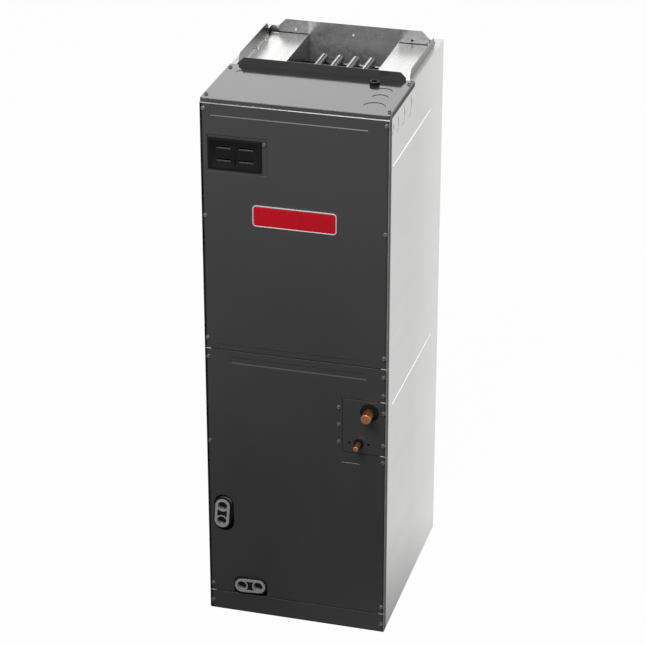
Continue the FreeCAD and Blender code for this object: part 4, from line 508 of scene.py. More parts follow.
for slot, values in PLASTICS.items():
    finishes[slot] = plastic(*values)
print("plastic finishes made")

# %% [markdown]
# ## Copper, brass and fins
# Drawn copper tube shows fine lines along its length and a brown tarnish that comes in patches. Fin stock
# is bright thin aluminium, and the liners are faced with foil over a net of threads that prints through.
# All of them are metals, so the colour is the colour of the reflection.

# %% Warm metals
def drawn_metal(name, bright, tarnish, rough, stretch):
    """A tube metal with drawing lines and patches of tarnish."""
    made, tree, shader = start_finish(name, 1.0)
    lines = noise(tree, 700.0, 3.0, stretch)
    patches = noise(tree, 45.0, 5.0)
    colour = ramp(tree, patches, (0.35, tarnish), (0.65, bright))
    colour = blend(tree, 0.25, colour, ramp(tree, lines, (0.3, tarnish), (0.7, bright)))
    link(tree, colour, shader.inputs["Base Color"])
    link(tree, grey(tree, patches, rough + 0.1, rough - 0.05), shader.inputs["Roughness"])
    bump(tree, shader, lines, 0.08, 0.0001)
    return made


ALONG_Y = (1, 0.03, 1)
finishes["copper"] = drawn_metal("drawn_copper", (0.78, 0.35, 0.16), (0.52, 0.21, 0.09), 0.38, ALONG_Y)
finishes["brass"] = drawn_metal("turned_brass", (0.7, 0.5, 0.2), (0.5, 0.34, 0.13), 0.3, (1, 1, 1))
finishes["fins"] = drawn_metal("fin_stock", (0.72, 0.73, 0.75), (0.58, 0.59, 0.61), 0.3, (1, 1, 0.05))


def foil():
    """Foil facing over a net of threads that prints through it."""
    made, tree, shader = start_finish("liner_foil", 1.0)
    threads = None
    for way in ("Y", "Z"):
        wave = tree.nodes.new("ShaderNodeTexWave")
        wave.bands_direction = way
        wave.inputs["Scale"].default_value = 26.0
        wave.inputs["Distortion"].default_value = 0.4
        link(tree, place_on(tree), wave.inputs["Vector"])
        line = ramp(tree, wave.outputs["Color"], (0.8, 0.0), (0.97, 1.0))
        threads = blend(tree, 1.0, threads, line, "LIGHTEN") if threads else line
    creases = noise(tree, 60.0, 5.0)
    colour = ramp(tree, creases, (0.3, (0.55, 0.56, 0.57)), (0.7, (0.74, 0.75, 0.76)))
    link(tree, blend(tree, threads, colour, (0.44, 0.45, 0.46)), shader.inputs["Base Color"])
    link(tree, grey(tree, creases, 0.24, 0.42), shader.inputs["Roughness"])
    bump(tree, shader, blend(tree, 0.4, threads, creases), 0.3, 0.0006)
    return made


finishes["liner"] = foil()
print("metal finishes made")

# %% [markdown]
# ## Dress the imported solids
# The record says which finish slot each solid has, and a few sheets have a finish of their own, with
# painted shade along an axis. A solid's shape is never touched here: only its material slots are filled.

# %% Assign finishes
OWN_FINISH = {"left_side_panel": "side_sheet", "right_side_panel": "side_sheet", "back_panel": "side_sheet",
              "rear_outlet_wall": "outlet_wall", "heater_rack": "rack_sheet",
              "left_outlet_ledge": "outlet_ledge", "right_outlet_ledge": "outlet_ledge"}

slot_of = {part["node"]: part["material_slot"] for part in frame["record"]["subparts"]}
for name, node in nodes.items():
    node.data.materials.clear()
    node.data.materials.append(finishes[OWN_FINISH.get(name, slot_of[name])])
print("dressed", len(nodes), "solids in", len(finishes), "finishes")

# %% [markdown]
# ## Modelling helpers
# The pieces below are modelled as by hand: add a primitive at its size and place, go into edit mode, select
# faces or edges by where they are, and run the same operators that the menus run. Two habits keep this safe
# in a script: clear the selection before adding anything, and leave edit mode before touching another
# object.

# %% Modelling helpers
FACING = (math.radians(90), 0, 0)
WELD = 0.00001


def rest():
    """Leaves edit mode and clears the selection."""
    if bpy.context.object and bpy.context.object.mode != "OBJECT":
        bpy.ops.object.mode_set(mode="OBJECT")
    bpy.ops.object.select_all(action="DESELECT")


def activate(made):
    """Makes one object the only selected one."""
    rest()
    made.select_set(True)
    bpy.context.view_layer.objects.active = made


def settle(name):
    """Names the new object and moves its place, turn and scale into its mesh."""
    made = bpy.context.object
    made.name = name
    made.data.name = name
    bpy.ops.object.transform_apply()
    return made


def add_block(name, low, high):
    """A box between two corners; zip makes the corners from ranges along X, Y and Z."""
    rest()
    bpy.ops.mesh.primitive_cube_add(size=1, location=[(a + b) / 2 for a, b in zip(low, high)])
    bpy.context.object.scale = [b - a for a, b in zip(low, high)]
    return settle(name)


def add_drum(name, at, radius, depth, sides=32, turn=(0, 0, 0)):
    """A cylinder round a place, along Z unless turned."""
    rest()
    bpy.ops.mesh.primitive_cylinder_add(vertices=sides, radius=radius, depth=depth, location=at,
                                        rotation=turn)
    return settle(name)


def pick(made, test, kind="FACE"):
    """Selects, in edit mode, the faces or edges whose middle and direction pass a test."""
    if bpy.context.object != made or made.mode != "EDIT":
        activate(made)
        bpy.ops.object.mode_set(mode="EDIT")
    bpy.ops.mesh.select_mode(type=kind)
    bpy.ops.mesh.select_all(action="DESELECT")
    mesh = bmesh.from_edit_mesh(made.data)
    mesh.normal_update()
    for piece in (mesh.faces if kind == "FACE" else mesh.edges):
        if kind == "FACE":
            middle, way = piece.calc_center_median(), piece.normal
        else:
            first, second = piece.verts[0].co, piece.verts[1].co
            middle, way = (first + second) / 2, (second - first).normalized()
        if test(middle, way):
            piece.select_set(True)
    mesh.select_flush_mode()
    bmesh.update_edit_mesh(made.data)


def push(x=0.0, y=0.0, z=0.0):
    """Extrudes the selected faces by a distance."""
    bpy.ops.mesh.extrude_region_move(TRANSFORM_OT_translate={"value": (x, y, z)})


def round_edges(width, segments):
    """Bevels the selected edges."""
    bpy.ops.mesh.bevel(offset=width, segments=segments, affect="EDGES")


def sink_front(made, rim, depth):
    """Insets the face towards the front and pushes it back."""
    pick(made, lambda at, way: way.y < -0.9)
    bpy.ops.mesh.inset(thickness=rim)
    push(y=depth)
    rest()


def weld(made):
    """Joins corners that meet, and turns all faces outwards."""
    pick(made, lambda at, way: True)
    bpy.ops.mesh.remove_doubles(threshold=WELD)
    bpy.ops.mesh.normals_make_consistent(inside=False)
    rest()


def apply_modifier(made, kind, **settings):
    """Adds a modifier with its settings and applies it."""
    activate(made)
    modifier = made.modifiers.new(kind.lower(), kind)
    for key, value in settings.items():
        setattr(modifier, key, value)
    bpy.ops.object.modifier_apply(modifier=modifier.name)


def soften(made, width, segments=2, angle=30.0):
    """Rounds the sharp edges."""
    limit = math.radians(angle)
    apply_modifier(made, "BEVEL", width=width, segments=segments, limit_method="ANGLE", angle_limit=limit)


def soft_block(name, low, high, width):
    """A box with rounded edges."""
    made = add_block(name, low, high)
    soften(made, width)
    return made


def carve(made, tool):
    """Cuts one object out of another, and removes the tool."""
    apply_modifier(made, "BOOLEAN", operation="DIFFERENCE", solver="EXACT", object=tool)
    bpy.data.objects.remove(tool)


def put(made, at, turn):
    """Moves a piece made round the origin to a place and turn."""
    made.location = at
    made.rotation_euler = turn
    activate(made)
    bpy.ops.object.transform_apply()
    return made


def copy_to(master, at, turn):
    """A copy with its own mesh, at a place and turn."""
    activate(master)
    bpy.ops.object.duplicate()
    return put(bpy.context.object, at, turn)


def merge(name, pieces):
    """Joins several objects into one."""
    rest()
    for piece in pieces:
        piece.select_set(True)
    bpy.context.view_layer.objects.active = pieces[0]
    if len(pieces) > 1:
        bpy.ops.object.join()
    made = bpy.context.object
    made.name = name
    made.data.name = name
    return made


def hand_over(made, slot, body, *replaced, finish=None):
    """Shades a finished piece, gives it its finish and body, and hides the imported parts it replaces."""
    activate(made)
    bpy.ops.object.shade_smooth_by_angle(angle=math.radians(35))
    made.data.materials.clear()
    made.data.materials.append(finishes[finish or slot])
    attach(made, body)
    if replaced:
        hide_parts(*replaced)
    rest()
    print(made.name, len(made.data.polygons), "faces")


def solids_of(name):
    """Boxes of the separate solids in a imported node, found by the corners that their triangles share."""
    mesh = nodes[name].data
    owner = {}

    def find(key):
        while owner[key] != key:
            key = owner[key]
        return key

    for face in mesh.polygons:
        keys = [tuple(round(c, 5) for c in mesh.vertices[i].co) for i in face.vertices]
        for key in keys:
            owner.setdefault(key, key)
        for key in keys[1:]:
            owner[find(key)] = find(keys[0])
    groups = {}
    for key in owner:
        groups.setdefault(find(key), []).append(key)
    return [(Vector(map(min, zip(*group))), Vector(map(max, zip(*group)))) for group in groups.values()]


print("modelling helpers ready")

# %% [markdown]
# ## Hex washer screws
# Sheet metal screws hold every panel: a six-sided head with a dished top, a round washer formed with it,
# and a pointed shank. One screw is modelled standing up, its thread a small diamond swept by a Screw
# modifier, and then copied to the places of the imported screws, so each copy lands in its real hole.

# %% Screws
HEAD_ACROSS = 0.007
HEAD_TALL = 0.0036
WASHER_RADIUS = 0.0053
WASHER_TALL = 0.0012
SHANK_RADIUS = 0.0017
SHANK_LONG = 0.012
WASHER_ROUND = 0.0005
HEAD_RIM = 0.0011
HEAD_DISH = 0.0007
HEAD_ROUND = 0.00035
THREAD_SIZE = 0.0008
THREAD_PITCH = 0.0014


def make_thread(name, radius, size, pitch, turns, start, axis="Z", steps=14):
    """A helical ridge: a diamond's outline swept round an axis through the origin."""
    rest()
    at = (radius, 0, start) if axis == "Z" else (radius, start, 0)
    turn = (math.radians(90), math.radians(45), 0) if axis == "Z" else (0, 0, math.radians(45))
    bpy.ops.mesh.primitive_plane_add(size=size, location=at, rotation=turn)
    made = settle(name)
    pick(made, lambda at, way: True)
    bpy.ops.mesh.delete(type="ONLY_FACE")
    apply_modifier(made, "SCREW", axis=axis, screw_offset=pitch, iterations=turns, steps=steps,
                   render_steps=steps)
    weld(made)
    return made


def make_screw():
    """One hex washer screw, seat at the origin, head up."""
    washer = add_drum("screw_washer", (0, 0, WASHER_TALL / 2), WASHER_RADIUS, WASHER_TALL, 28)
    pick(washer, lambda at, way: at.z > WASHER_TALL * 0.9 and abs(way.z) < 0.1, "EDGE")
    round_edges(WASHER_ROUND, 3)
    middle = WASHER_TALL + HEAD_TALL / 2
    head = add_drum("screw_head", (0, 0, middle), HEAD_ACROSS / math.sqrt(3), HEAD_TALL, 6)
    pick(head, lambda at, way: way.z > 0.9)
    bpy.ops.mesh.inset(thickness=HEAD_RIM)
    push(z=-HEAD_DISH)
    pick(head, lambda at, way: at.z > WASHER_TALL + HEAD_TALL * 0.95 and abs(way.z) < 0.1, "EDGE")
    round_edges(HEAD_ROUND, 2)
    shank = add_drum("screw_shank", (0, 0, -SHANK_LONG * 0.4), SHANK_RADIUS, SHANK_LONG * 0.8, 14)
    pick(shank, lambda at, way: way.z < -0.9)
    push(z=-SHANK_LONG * 0.2)
    bpy.ops.transform.resize(value=(0.15, 0.15, 1))
    thread = make_thread("screw_thread", SHANK_RADIUS, THREAD_SIZE, THREAD_PITCH, 6, -SHANK_LONG * 0.86)
    return merge("screw_master", [washer, head, shank, thread])


screw = make_screw()
for node_name, body in (("upper_panel_screws", "upper_panel"), ("lower_panel_screws", "lower_panel"),
                        ("tubing_panel_screws", "tubing_cover"), ("filter_panel_screws", "filter_door"),
                        ("top_cover_screws", "cabinet")):
    upright = node_name == "top_cover_screws"
    copies = []
    for low, high in solids_of(node_name):
        middle = (low + high) / 2
        if upright:
            seat = (middle.x, middle.y, high.z - HEAD_TALL - WASHER_TALL)
        else:
            seat = (middle.x, low.y + HEAD_TALL + WASHER_TALL, middle.z)
        copies.append(copy_to(screw, seat, (0, 0, 0) if upright else FACING))
    hand_over(merge(node_name.replace("_screws", "_hex_screws"), copies), "screw_steel", body, node_name)
bpy.data.objects.remove(screw)
print("screws placed")

# %% [markdown]
# ## Breaker cover
# A black moulded tray over the two breakers. Its border steps inwards twice, so the field with the four
# finger slots lies deep, and a rib divides the field. Each step is an inset that keeps the outline, then an
# extrude that sinks it. The slots are cut through, and a sloped lip in each catches the light from above;
# the lips have a painted highlight, a lighter grey than the tray's black.

# %% Breaker cover
cover_low, cover_high = (Vector(corner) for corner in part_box("breaker_cover"))
FIRST_STEP = (0.0075, 0.0018)
SECOND_STEP = (0.0050, 0.0016)
TRAY_CORNER = 0.0035
SLOT_WIDE = 0.0355
SLOT_TALL = 0.0075
SLOT_CORNER = 0.0022
SLOT_FROM_RIB = 0.027
SLOT_FROM_MIDDLE = 0.0155
LIP_Z = (-0.0034, 0.0002)
LIP_SHORT = 0.0006
LIP_LEAN = 0.0008
RIB_HALF = 0.0019
field_y = cover_low.y + FIRST_STEP[1] + SECOND_STEP[1]


def make_tray():
    """The stepped tray without its slots."""
    tray = add_block("breaker_tray", cover_low, cover_high)
    pick(tray, lambda at, way: way.y < -0.9)
    for wide, deep in (FIRST_STEP, SECOND_STEP):
        bpy.ops.mesh.inset(thickness=wide)
        push(y=deep)
    left, right = cover_low.x + 0.001, cover_high.x - 0.001
    pick(tray, lambda at, way: abs(way.y) > 0.9 and not left < at.x < right, "EDGE")
    round_edges(TRAY_CORNER, 4)
    soften(tray, 0.0005)
    return tray


def make_slot(tray, x, z):
    """Cuts one slot through the tray, and makes the lip in it."""
    low = (x - SLOT_WIDE / 2, field_y - 0.004, z - SLOT_TALL / 2)
    high = (x + SLOT_WIDE / 2, cover_high.y + 0.002, z + SLOT_TALL / 2)
    tool = add_block("slot_tool", low, high)
    pick(tool, lambda at, way: abs(way.y) > 0.9, "EDGE")
    round_edges(SLOT_CORNER, 4)
    carve(tray, tool)
    lip = add_block("slot_lip", (low[0] + LIP_SHORT, field_y - 0.0004, z + LIP_Z[0]),
                    (high[0] - LIP_SHORT, cover_high.y, z + LIP_Z[1]))
    pick(lip, lambda at, way: abs(way.x) > 0.9 and at.z > z and at.y < field_y, "EDGE")
    bpy.ops.transform.translate(value=(0, LIP_LEAN, 0))
    soften(lip, 0.0003)
    return lip


def make_breaker_cover():
    """The tray with its rib, and the lips of its slots."""
    tray = make_tray()
    border = FIRST_STEP[0] + SECOND_STEP[0] - 0.001
    middle = (cover_low + cover_high) / 2
    lips = []
    for side in (-1, 1):
        for level in (-1, 1):
            lips.append(make_slot(tray, middle.x + side * SLOT_FROM_RIB, middle.z + level * SLOT_FROM_MIDDLE))
    rib = soft_block("tray_rib", (middle.x - RIB_HALF, field_y - 0.0016, cover_low.z + border),
                     (middle.x + RIB_HALF, field_y + 0.0004, cover_high.z - border), 0.0005)
    return merge("breaker_tray", [tray, rib]), merge("breaker_lips", lips)


tray, lips = make_breaker_cover()
hand_over(tray, "black_plastic", "upper_panel", "breaker_cover")
# The lips' lighter grey is a painted highlight
hand_over(lips, "black_plastic", "upper_panel", finish="lip_plastic")

# %% [markdown]
# ## Badge
# The plate on the upper panel is a bright metal rim round a plain enamelled field. Rim and field start as
# one rounded plate: the front face is inset and sunk, then the sunk part is separated, so it can have its
# own finish, and pillowed with two more insets.

# %% Badge
plate_low, plate_high = (Vector(corner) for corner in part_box("name_plate"))
RIM_WIDE = 0.0030
RIM_DEEP = 0.0009
RIM_CORNER = 0.009
PILLOW = ((0.0014, 0.0005), (0.004, 0.0001))


def make_badge():
    """The rim and the field of the badge."""
    rim = add_block("badge_rim", plate_low, plate_high)
    pick(rim, lambda at, way: abs(way.y) > 0.9, "EDGE")
    round_edges(RIM_CORNER, 8)
    pick(rim, lambda at, way: way.y < -0.9)
    bpy.ops.mesh.inset(thickness=RIM_WIDE)
    push(y=RIM_DEEP)
    bpy.ops.mesh.separate(type="SELECTED")
    rest()
    field = [o for o in bpy.data.objects if o.name.startswith("badge_rim.")][0]
    field.name = "badge_field"
    field.data.name = "badge_field"
    pick(field, lambda at, way: True)
    for wide, tall in PILLOW:
        bpy.ops.mesh.inset(thickness=wide)
        bpy.ops.transform.translate(value=(0, -tall, 0))
    soften(rim, 0.0005)
    return rim, field


badge_rim, badge_field = make_badge()
hand_over(badge_rim, "badge", "upper_panel", "name_plate", finish="badge_rim")
hand_over(badge_field, "badge", "upper_panel")

# %% [markdown]
# ## Drain gaskets and port threads
# Each pair of drain ports comes through an oblong hole, closed round the fitting by a soft black gasket.
# A gasket is a cylinder whose two halves are pulled apart, then inset and bridged into a ring. A sleeve
# lines each port, its grey going dark down its bore in painted shade, and in it runs a pipe thread, swept
# like the screws' threads. A dark hourglass fills the hollow between two ports.

# %% Drain gaskets and threads
PORT_SPACING = 0.0413
PORT_RADIUS = 0.012
FITTING_RADIUS = 0.0185
GASKET_WIDE = 0.0034
GASKET_DEEP = 0.0062
GASKET_PROUD = 0.0018
SLEEVE_DEEP = 0.014
SLEEVE_WALL = 0.0002
WAIST = (0.0091, 0.0118)
FRONT_Y = -0.2667
FITTING_FACE = FRONT_Y - 0.006
# Painted shade: the port sleeves' grey goes dark deeper in the bore
PORT_PAINTED_SHADE = (Y, FITTING_FACE + 0.001, 1.0, FITTING_FACE + 0.009, 0.02)
PORT_PAIRS = {"upflow_drain": ((-0.1188, 0.0790), 3.5), "side_drain": ((-0.1875, 0.2767), 86.0)}


def make_gasket(name):
    """An oblong ring with a rounded front, made round the origin."""
    outer = FITTING_RADIUS + GASKET_WIDE
    ring = add_drum(name, (0, 0, 0), outer, GASKET_DEEP, 48, FACING)
    for side in (-1, 1):
        pick(ring, lambda at, way: at.x * side > 0.0001 and abs(way.y) < 0.9)
        bpy.ops.transform.translate(value=(side * PORT_SPACING / 2, 0, 0))
    pick(ring, lambda at, way: abs(way.y) > 0.9)
    bpy.ops.mesh.inset(thickness=GASKET_WIDE - 0.0001, use_individual=False)
    bpy.ops.mesh.delete(type="FACE")
    inside = outer - GASKET_WIDE * 0.6
    pick(ring, lambda at, way: math.hypot(max(0, abs(at.x) - PORT_SPACING / 2), at.z) < inside
         and abs(way.y) < 0.1, "EDGE")
    bpy.ops.mesh.bridge_edge_loops()
    bpy.ops.mesh.select_all(action="SELECT")
    bpy.ops.mesh.normals_make_consistent(inside=False)
    soften(ring, 0.0011, 3)
    return ring


def make_sleeve(name):
    """A thin cup that lines a port, its mouth just inside the origin."""
    cup = add_drum(name, (0, SLEEVE_DEEP / 2 + 0.0008, 0), PORT_RADIUS - 0.00005, SLEEVE_DEEP, 40, FACING)
    sink_front(cup, SLEEVE_WALL, SLEEVE_DEEP - 0.0005)
    return cup


def make_waist(name):
    """A dark hourglass that fills the hollow between two ports."""
    filler = add_block(name, (-WAIST[0], 0.001, -WAIST[1]), (WAIST[0], 0.0116, WAIST[1]))
    for side in (-1, 1):
        at = (side * PORT_SPACING / 2, 0.006, 0)
        carve(filler, add_drum("port_tool", at, PORT_RADIUS + 0.003, 0.02, 48, FACING))
    return filler


def paint_port_shade(made):
    """Painted shade: makes the ports' grey plastic go dark down the port."""
    tree = made.node_tree
    target = tree.nodes["Principled BSDF"].inputs["Base Color"]
    link(tree, shade(tree, target.links[0].from_socket, *PORT_PAINTED_SHADE), target)


paint_port_shade(finishes["port_plastic"])
gaskets = []
waists = []
ports = []
for name, ((x, z), tilt) in PORT_PAIRS.items():
    turn = (0, math.radians(-tilt), 0)
    at = (x, FITTING_FACE, z)
    gaskets.append(put(make_gasket(name + "_gasket"), (x, FRONT_Y - GASKET_PROUD, z), turn))
    waists.append(put(make_waist(name + "_waist"), at, turn))
    for side in (-1, 1):
        thread = make_thread(name + "_thread", PORT_RADIUS - 0.0003, 0.0013, 0.0019, 6, 0.003, "Y", 36)
        lined = merge(name + "_port", [make_sleeve(name + "_sleeve"), thread])
        lined = put(lined, (side * PORT_SPACING / 2, 0, 0), (0, 0, 0))
        ports.append(put(lined, at, turn))
hand_over(merge("drain_gaskets", gaskets), "rubber", "cabinet", finish="gasket")
hand_over(merge("drain_waists", waists), "pan_plastic", "cabinet", finish="rubber")
hand_over(merge("drain_ports", ports), "pan_plastic", "cabinet", finish="port_plastic")

# %% [markdown]
# ## Trims, bright edges and beads
# A matt trim folds round each front corner of the cabinet, in painted greys: black at the left, a painted
# dark reflection, and a grey outer leg at the right, painted light on the side's front edge. The cover's
# sides have edges in the same painted greys, and the bend at the right is painted mid grey as it looks in the
# light.
# A thin black strip along the front foot is a painted shadow where the cabinet meets the floor.
# Bare zinc shows in the gaps between panels and along the beads of the sides; the beads take the pale
# badge-rim zinc, a painted highlight on the side sheet's own zinc. A flat strip that faces the front mirrors
# the dark floor, so each gap strip leans back a little and mirrors the white above the horizon. A bead is a
# flattened rod with domed ends.

# %% Trims, bright edges and beads
SIDE_X = 0.22225
TRIM_X = {-1: (0.2187, 0.2240), 1: (0.2187, 0.2227)}
TRIM_Y = (FRONT_Y - 0.0002, FRONT_Y + 0.0012)
TRIM_Z = (0.0016, 1.3452)
TRIM_LEG = 0.0185
TRIM_ROUND = 0.0006
# Painted reflection and light: near black at the left, dark across the front, grey on the outer right leg
TRIM_PAINTED_GREYS = ((0.0585, 0.002), (0.0602, 0.04), (0.9418, 0.045), (0.9428, 0.62))
TRIM_REACH = 0.25
LID_X = 0.22345
LID_Y = (-0.262, -0.036)
LID_Z = (1.3455, 1.3563)
LID_THICK = 0.0003
BEND_X = (0.2207, 0.2236)
BEND_Z = (1.3560, 1.3575)
BEND_ROUND = 0.0012
FOOT_SHADOW_Y = (FRONT_Y - 0.0006, FRONT_Y + 0.006)
FOOT_SHADOW_Z = (0.0001, 0.0013)
STRIP_Y = (FRONT_Y - 0.0005, FRONT_Y + 0.0012)
STRIP_TALL = 0.0018
LEAN = 0.28
TAB_X = (0.2085, 0.2231)
GAPS = [(-0.2225, 0.2225, 1.3449, 1.3464)]
GAPS += [(*TAB_X, z, z + STRIP_TALL) for z in (0.7229, 0.6346, 0.4904, 0.0501)]
GAPS += [(-TAB_X[1], -TAB_X[0], z, z + STRIP_TALL) for z in (0.7229, 0.0501)]
BEAD_RADIUS = 0.0018
BEADS = [(side, *ends) for side in (-1, 1) for ends in ((-0.232, 0.14, 1.2235), (-0.212, 0.185, 0.604))]


def trim_finish():
    """Matt, in painted greys by place: black at the left, grey on the outer right leg, with a random mottle.
    """
    made, tree, shader = start_finish("corner_trim", 0.0, Specular_IOR_Level=0.05, Roughness=0.8)
    shifted = math_node(tree, "ADD", axes(tree)[X], TRIM_REACH)
    base = ramp(tree, math_node(tree, "DIVIDE", shifted, 2 * TRIM_REACH), *TRIM_PAINTED_GREYS)
    mottle = ramp(tree, noise(tree, 120.0, 4.0, (1, 1, 0.2)), (0.3, 0.75), (0.7, 1.0))
    link(tree, blend(tree, 1.0, base, mottle, "MULTIPLY"), shader.inputs["Base Color"])
    bump(tree, shader, noise(tree, 900.0, 2.0), 0.1, 0.0002)
    return made


def make_trim(side):
    """An angle round one front corner: a narrow front leg, and a wider leg along the side."""
    bend = SIDE_X + 0.0001
    outer = TRIM_X[side][1] - 0.0001
    trim = add_block("corner_trim", *zip(sorted(side * x for x in TRIM_X[side]), TRIM_Y, TRIM_Z))
    pick(trim, lambda at, way: way.y > 0.9)
    bpy.ops.mesh.bisect(plane_co=(side * bend, 0, 0), plane_no=(1, 0, 0))
    pick(trim, lambda at, way: way.y > 0.9 and at.x * side > bend)
    push(y=TRIM_LEG)
    pick(trim, lambda at, way: abs(way.z) > 0.9 and at.x * side > outer and at.y < FRONT_Y + 0.001, "EDGE")
    round_edges(TRIM_ROUND, 3)
    return trim


def make_lid_edge(side):
    """The turned-down edge of the cover, a thin strip along one side, painted black at the left and grey at
    the right.
    """
    across = sorted((side * LID_X, side * (LID_X + LID_THICK)))
    strip = add_block("lid_edge", *zip(across, LID_Y, LID_Z))
    pick(strip, lambda at, way: way.x * side > 0.9)
    bpy.ops.mesh.inset(thickness=0.0018)
    push(x=-side * 0.0001)
    return strip


def make_lid_bend():
    """The bend along the right edge of the cover, painted mid grey as it looks in the light."""
    bend = add_block("lid_bend", *zip(BEND_X, LID_Y, BEND_Z))
    pick(bend, lambda at, way: abs(way.y) > 0.9 and at.x > LID_X and at.z > BEND_Z[1] - 0.0001, "EDGE")
    round_edges(BEND_ROUND, 4)
    return bend


def make_strip(left, right, low, high):
    """A thin strip in a gap, its face leaning back."""
    strip = add_block("gap_strip", *zip((left, right), STRIP_Y, (low, high)))
    front = STRIP_Y[0] + 0.0001
    pick(strip, lambda at, way: abs(way.x) > 0.9 and at.y < front and at.z > high - 0.0001, "EDGE")
    bpy.ops.transform.translate(value=(0, LEAN * (high - low), 0))
    soften(strip, 0.0002)
    return strip


def make_bead(side, front, back, z):
    """A low round bead on a side sheet."""
    centre = (side * SIDE_X, (front + back) / 2, z)
    bead = add_drum("side_bead", centre, BEAD_RADIUS, back - front, 20, FACING)
    for end in (-1, 1):
        pick(bead, lambda at, way: way.y * end > 0.9)
        bpy.ops.mesh.inset(thickness=BEAD_RADIUS / 2)
        bpy.ops.transform.translate(value=(0, end * 0.003, 0))
    bpy.ops.mesh.select_all(action="SELECT")
    bpy.ops.transform.resize(value=(0.55, 1, 1), center_override=centre)
    rest()
    return bead


finishes["trim"] = trim_finish()
trims = merge("corner_trims", [make_trim(side) for side in (-1, 1)])
hand_over(trims, "dark_paint", "cabinet", finish="trim")
lid_edges = merge("lid_edges", [make_lid_edge(side) for side in (-1, 1)])
hand_over(lid_edges, "cover_paint", "cabinet", finish="trim")
hand_over(make_lid_bend(), "cover_paint", "cabinet", finish="lid_bend")
# A black strip along the front foot: a painted shadow where the cabinet meets the floor
foot_shadow = soft_block("base_skirt", *zip((-SIDE_X, SIDE_X), FOOT_SHADOW_Y, FOOT_SHADOW_Z), 0.0003)
hand_over(foot_shadow, "rubber", "cabinet")
strips = merge("gap_strips", [make_strip(*gap) for gap in GAPS])
hand_over(strips, "galvanised", "cabinet", finish="bright_edge")
beads = merge("side_beads", [make_bead(*bead) for bead in BEADS])
# The beads take the pale badge-rim zinc: a painted highlight on the side sheet's own zinc
hand_over(beads, "galvanised", "cabinet", finish="badge_rim")

# %% [markdown]
# ## Small marks
# Some things read as small marks: dark arcs round part of each knock-out in the cover, painted shade of
# its sunk far edge; two black cups in the holes beside the small tube, painted shade in them; a black ring
# under the breaker cover's screw, painted shade of the pocket round it; and the seams, holes and pressed
# lances of the outlet, where one hole is a black cup, painted shade, and two are pale cups, painted light
# showing through. An arc is a tiny bar spun round its knock-out, and a cup is a cylinder with its face
# inset and sunk.

# %% Small marks
COVER_Z = 1.3573
KNOCKOUT_SHADE_ARCS = ((0.1705, -0.117, 0.0195, 10, 130), (0.172, -0.159, 0.0195, 15, 150),
         (0.1728, -0.217, 0.026, 10, 155), (-0.183, -0.084, 0.011, 30, 120))
SHADE_ARC_WIDE = 0.0008
SHADED_HOLES = ((0.1325, 0.5188), (0.1795, 0.5188))
SHADED_HOLE_CUP = (0.0031, 0.0023, FRONT_Y - 0.0004, FRONT_Y + 0.008, 0.0075)
SCREW_SHADE_AT = (-0.072, 1.256)
SCREW_SHADE_RING = (0.0066, 0.005, FRONT_Y + 0.0015, FRONT_Y + 0.0025, 0.0004)
LIT_HOLES = ((-0.146, 1.3518), (-0.001, 1.3507))
DARK_HOLE = (0.1464, 1.3501)
WALL_HOLE = (0.003, 0.0022, 0.2555, 0.2566, 0.0007)
SEAMS = ((-0.2055, -0.1135), (0.1135, 0.2055))
SEAM_Y = (0.2552, 0.2562)
SEAM_Z = (1.3418, 1.3434)
LANCES = (0.128, 0.191)
LANCE_HALF = 0.005
LANCE_X = (-0.2079, -0.2005)
LANCE_Z = (1.3419, 1.3442)


def make_knockout_shade(x, y, radius, start, turn):
    """A thin dark arc of painted shade on the cover, from one angle through a turn in degrees."""
    angle = math.radians(start)
    at = (x + radius * math.cos(angle), y + radius * math.sin(angle), COVER_Z + 0.0001)
    rest()
    bpy.ops.mesh.primitive_plane_add(size=SHADE_ARC_WIDE, location=at, rotation=(math.radians(90), 0, angle))
    made = settle("knockout_slit")
    pick(made, lambda at, way: True)
    bpy.ops.transform.resize(value=(1, 1, 0.3), center_override=at)
    bpy.ops.mesh.spin(steps=24, angle=-math.radians(turn), center=(x, y, COVER_Z), axis=(0, 0, 1))
    weld(made)
    return made


def make_ring(name, at, outer, inner, front, back, floor_depth):
    """A round cup facing the front: a rim and a sunk floor."""
    cup = add_drum(name, (at[0], (front + back) / 2, at[1]), outer, back - front, 28, FACING)
    sink_front(cup, outer - inner, floor_depth)
    soften(cup, 0.0002, 2, 50)
    return cup


def make_lance(y):
    """A small bridge pressed up where the left ledge meets its flange."""
    tab = add_block("ledge_lance", *zip(LANCE_X, (y - LANCE_HALF, y + LANCE_HALF), LANCE_Z))
    pick(tab, lambda at, way: way.z > 0.9)
    bpy.ops.transform.resize(value=(0.55, 0.8, 1))
    bpy.ops.mesh.inset(thickness=0.0009)
    push(z=-0.0006)
    soften(tab, 0.0002)
    return tab


# The knock-outs are real; these dark arcs over part of each ring are painted shade of its sunk far edge
shade_arcs = merge("knockout_slits", [make_knockout_shade(*arc) for arc in KNOCKOUT_SHADE_ARCS])
hand_over(shade_arcs, "cover_paint", "cabinet", finish="rubber")
# Black cups: painted shade in the two holes beside the small tube
hole_shades = [make_ring("eyelet", at, *SHADED_HOLE_CUP) for at in SHADED_HOLES]
hand_over(merge("panel_eyelets", hole_shades), "rubber", "tubing_cover")
# Pale cups: painted light showing through two holes
lit_holes = [make_ring("wall_hole", at, *WALL_HOLE) for at in LIT_HOLES]
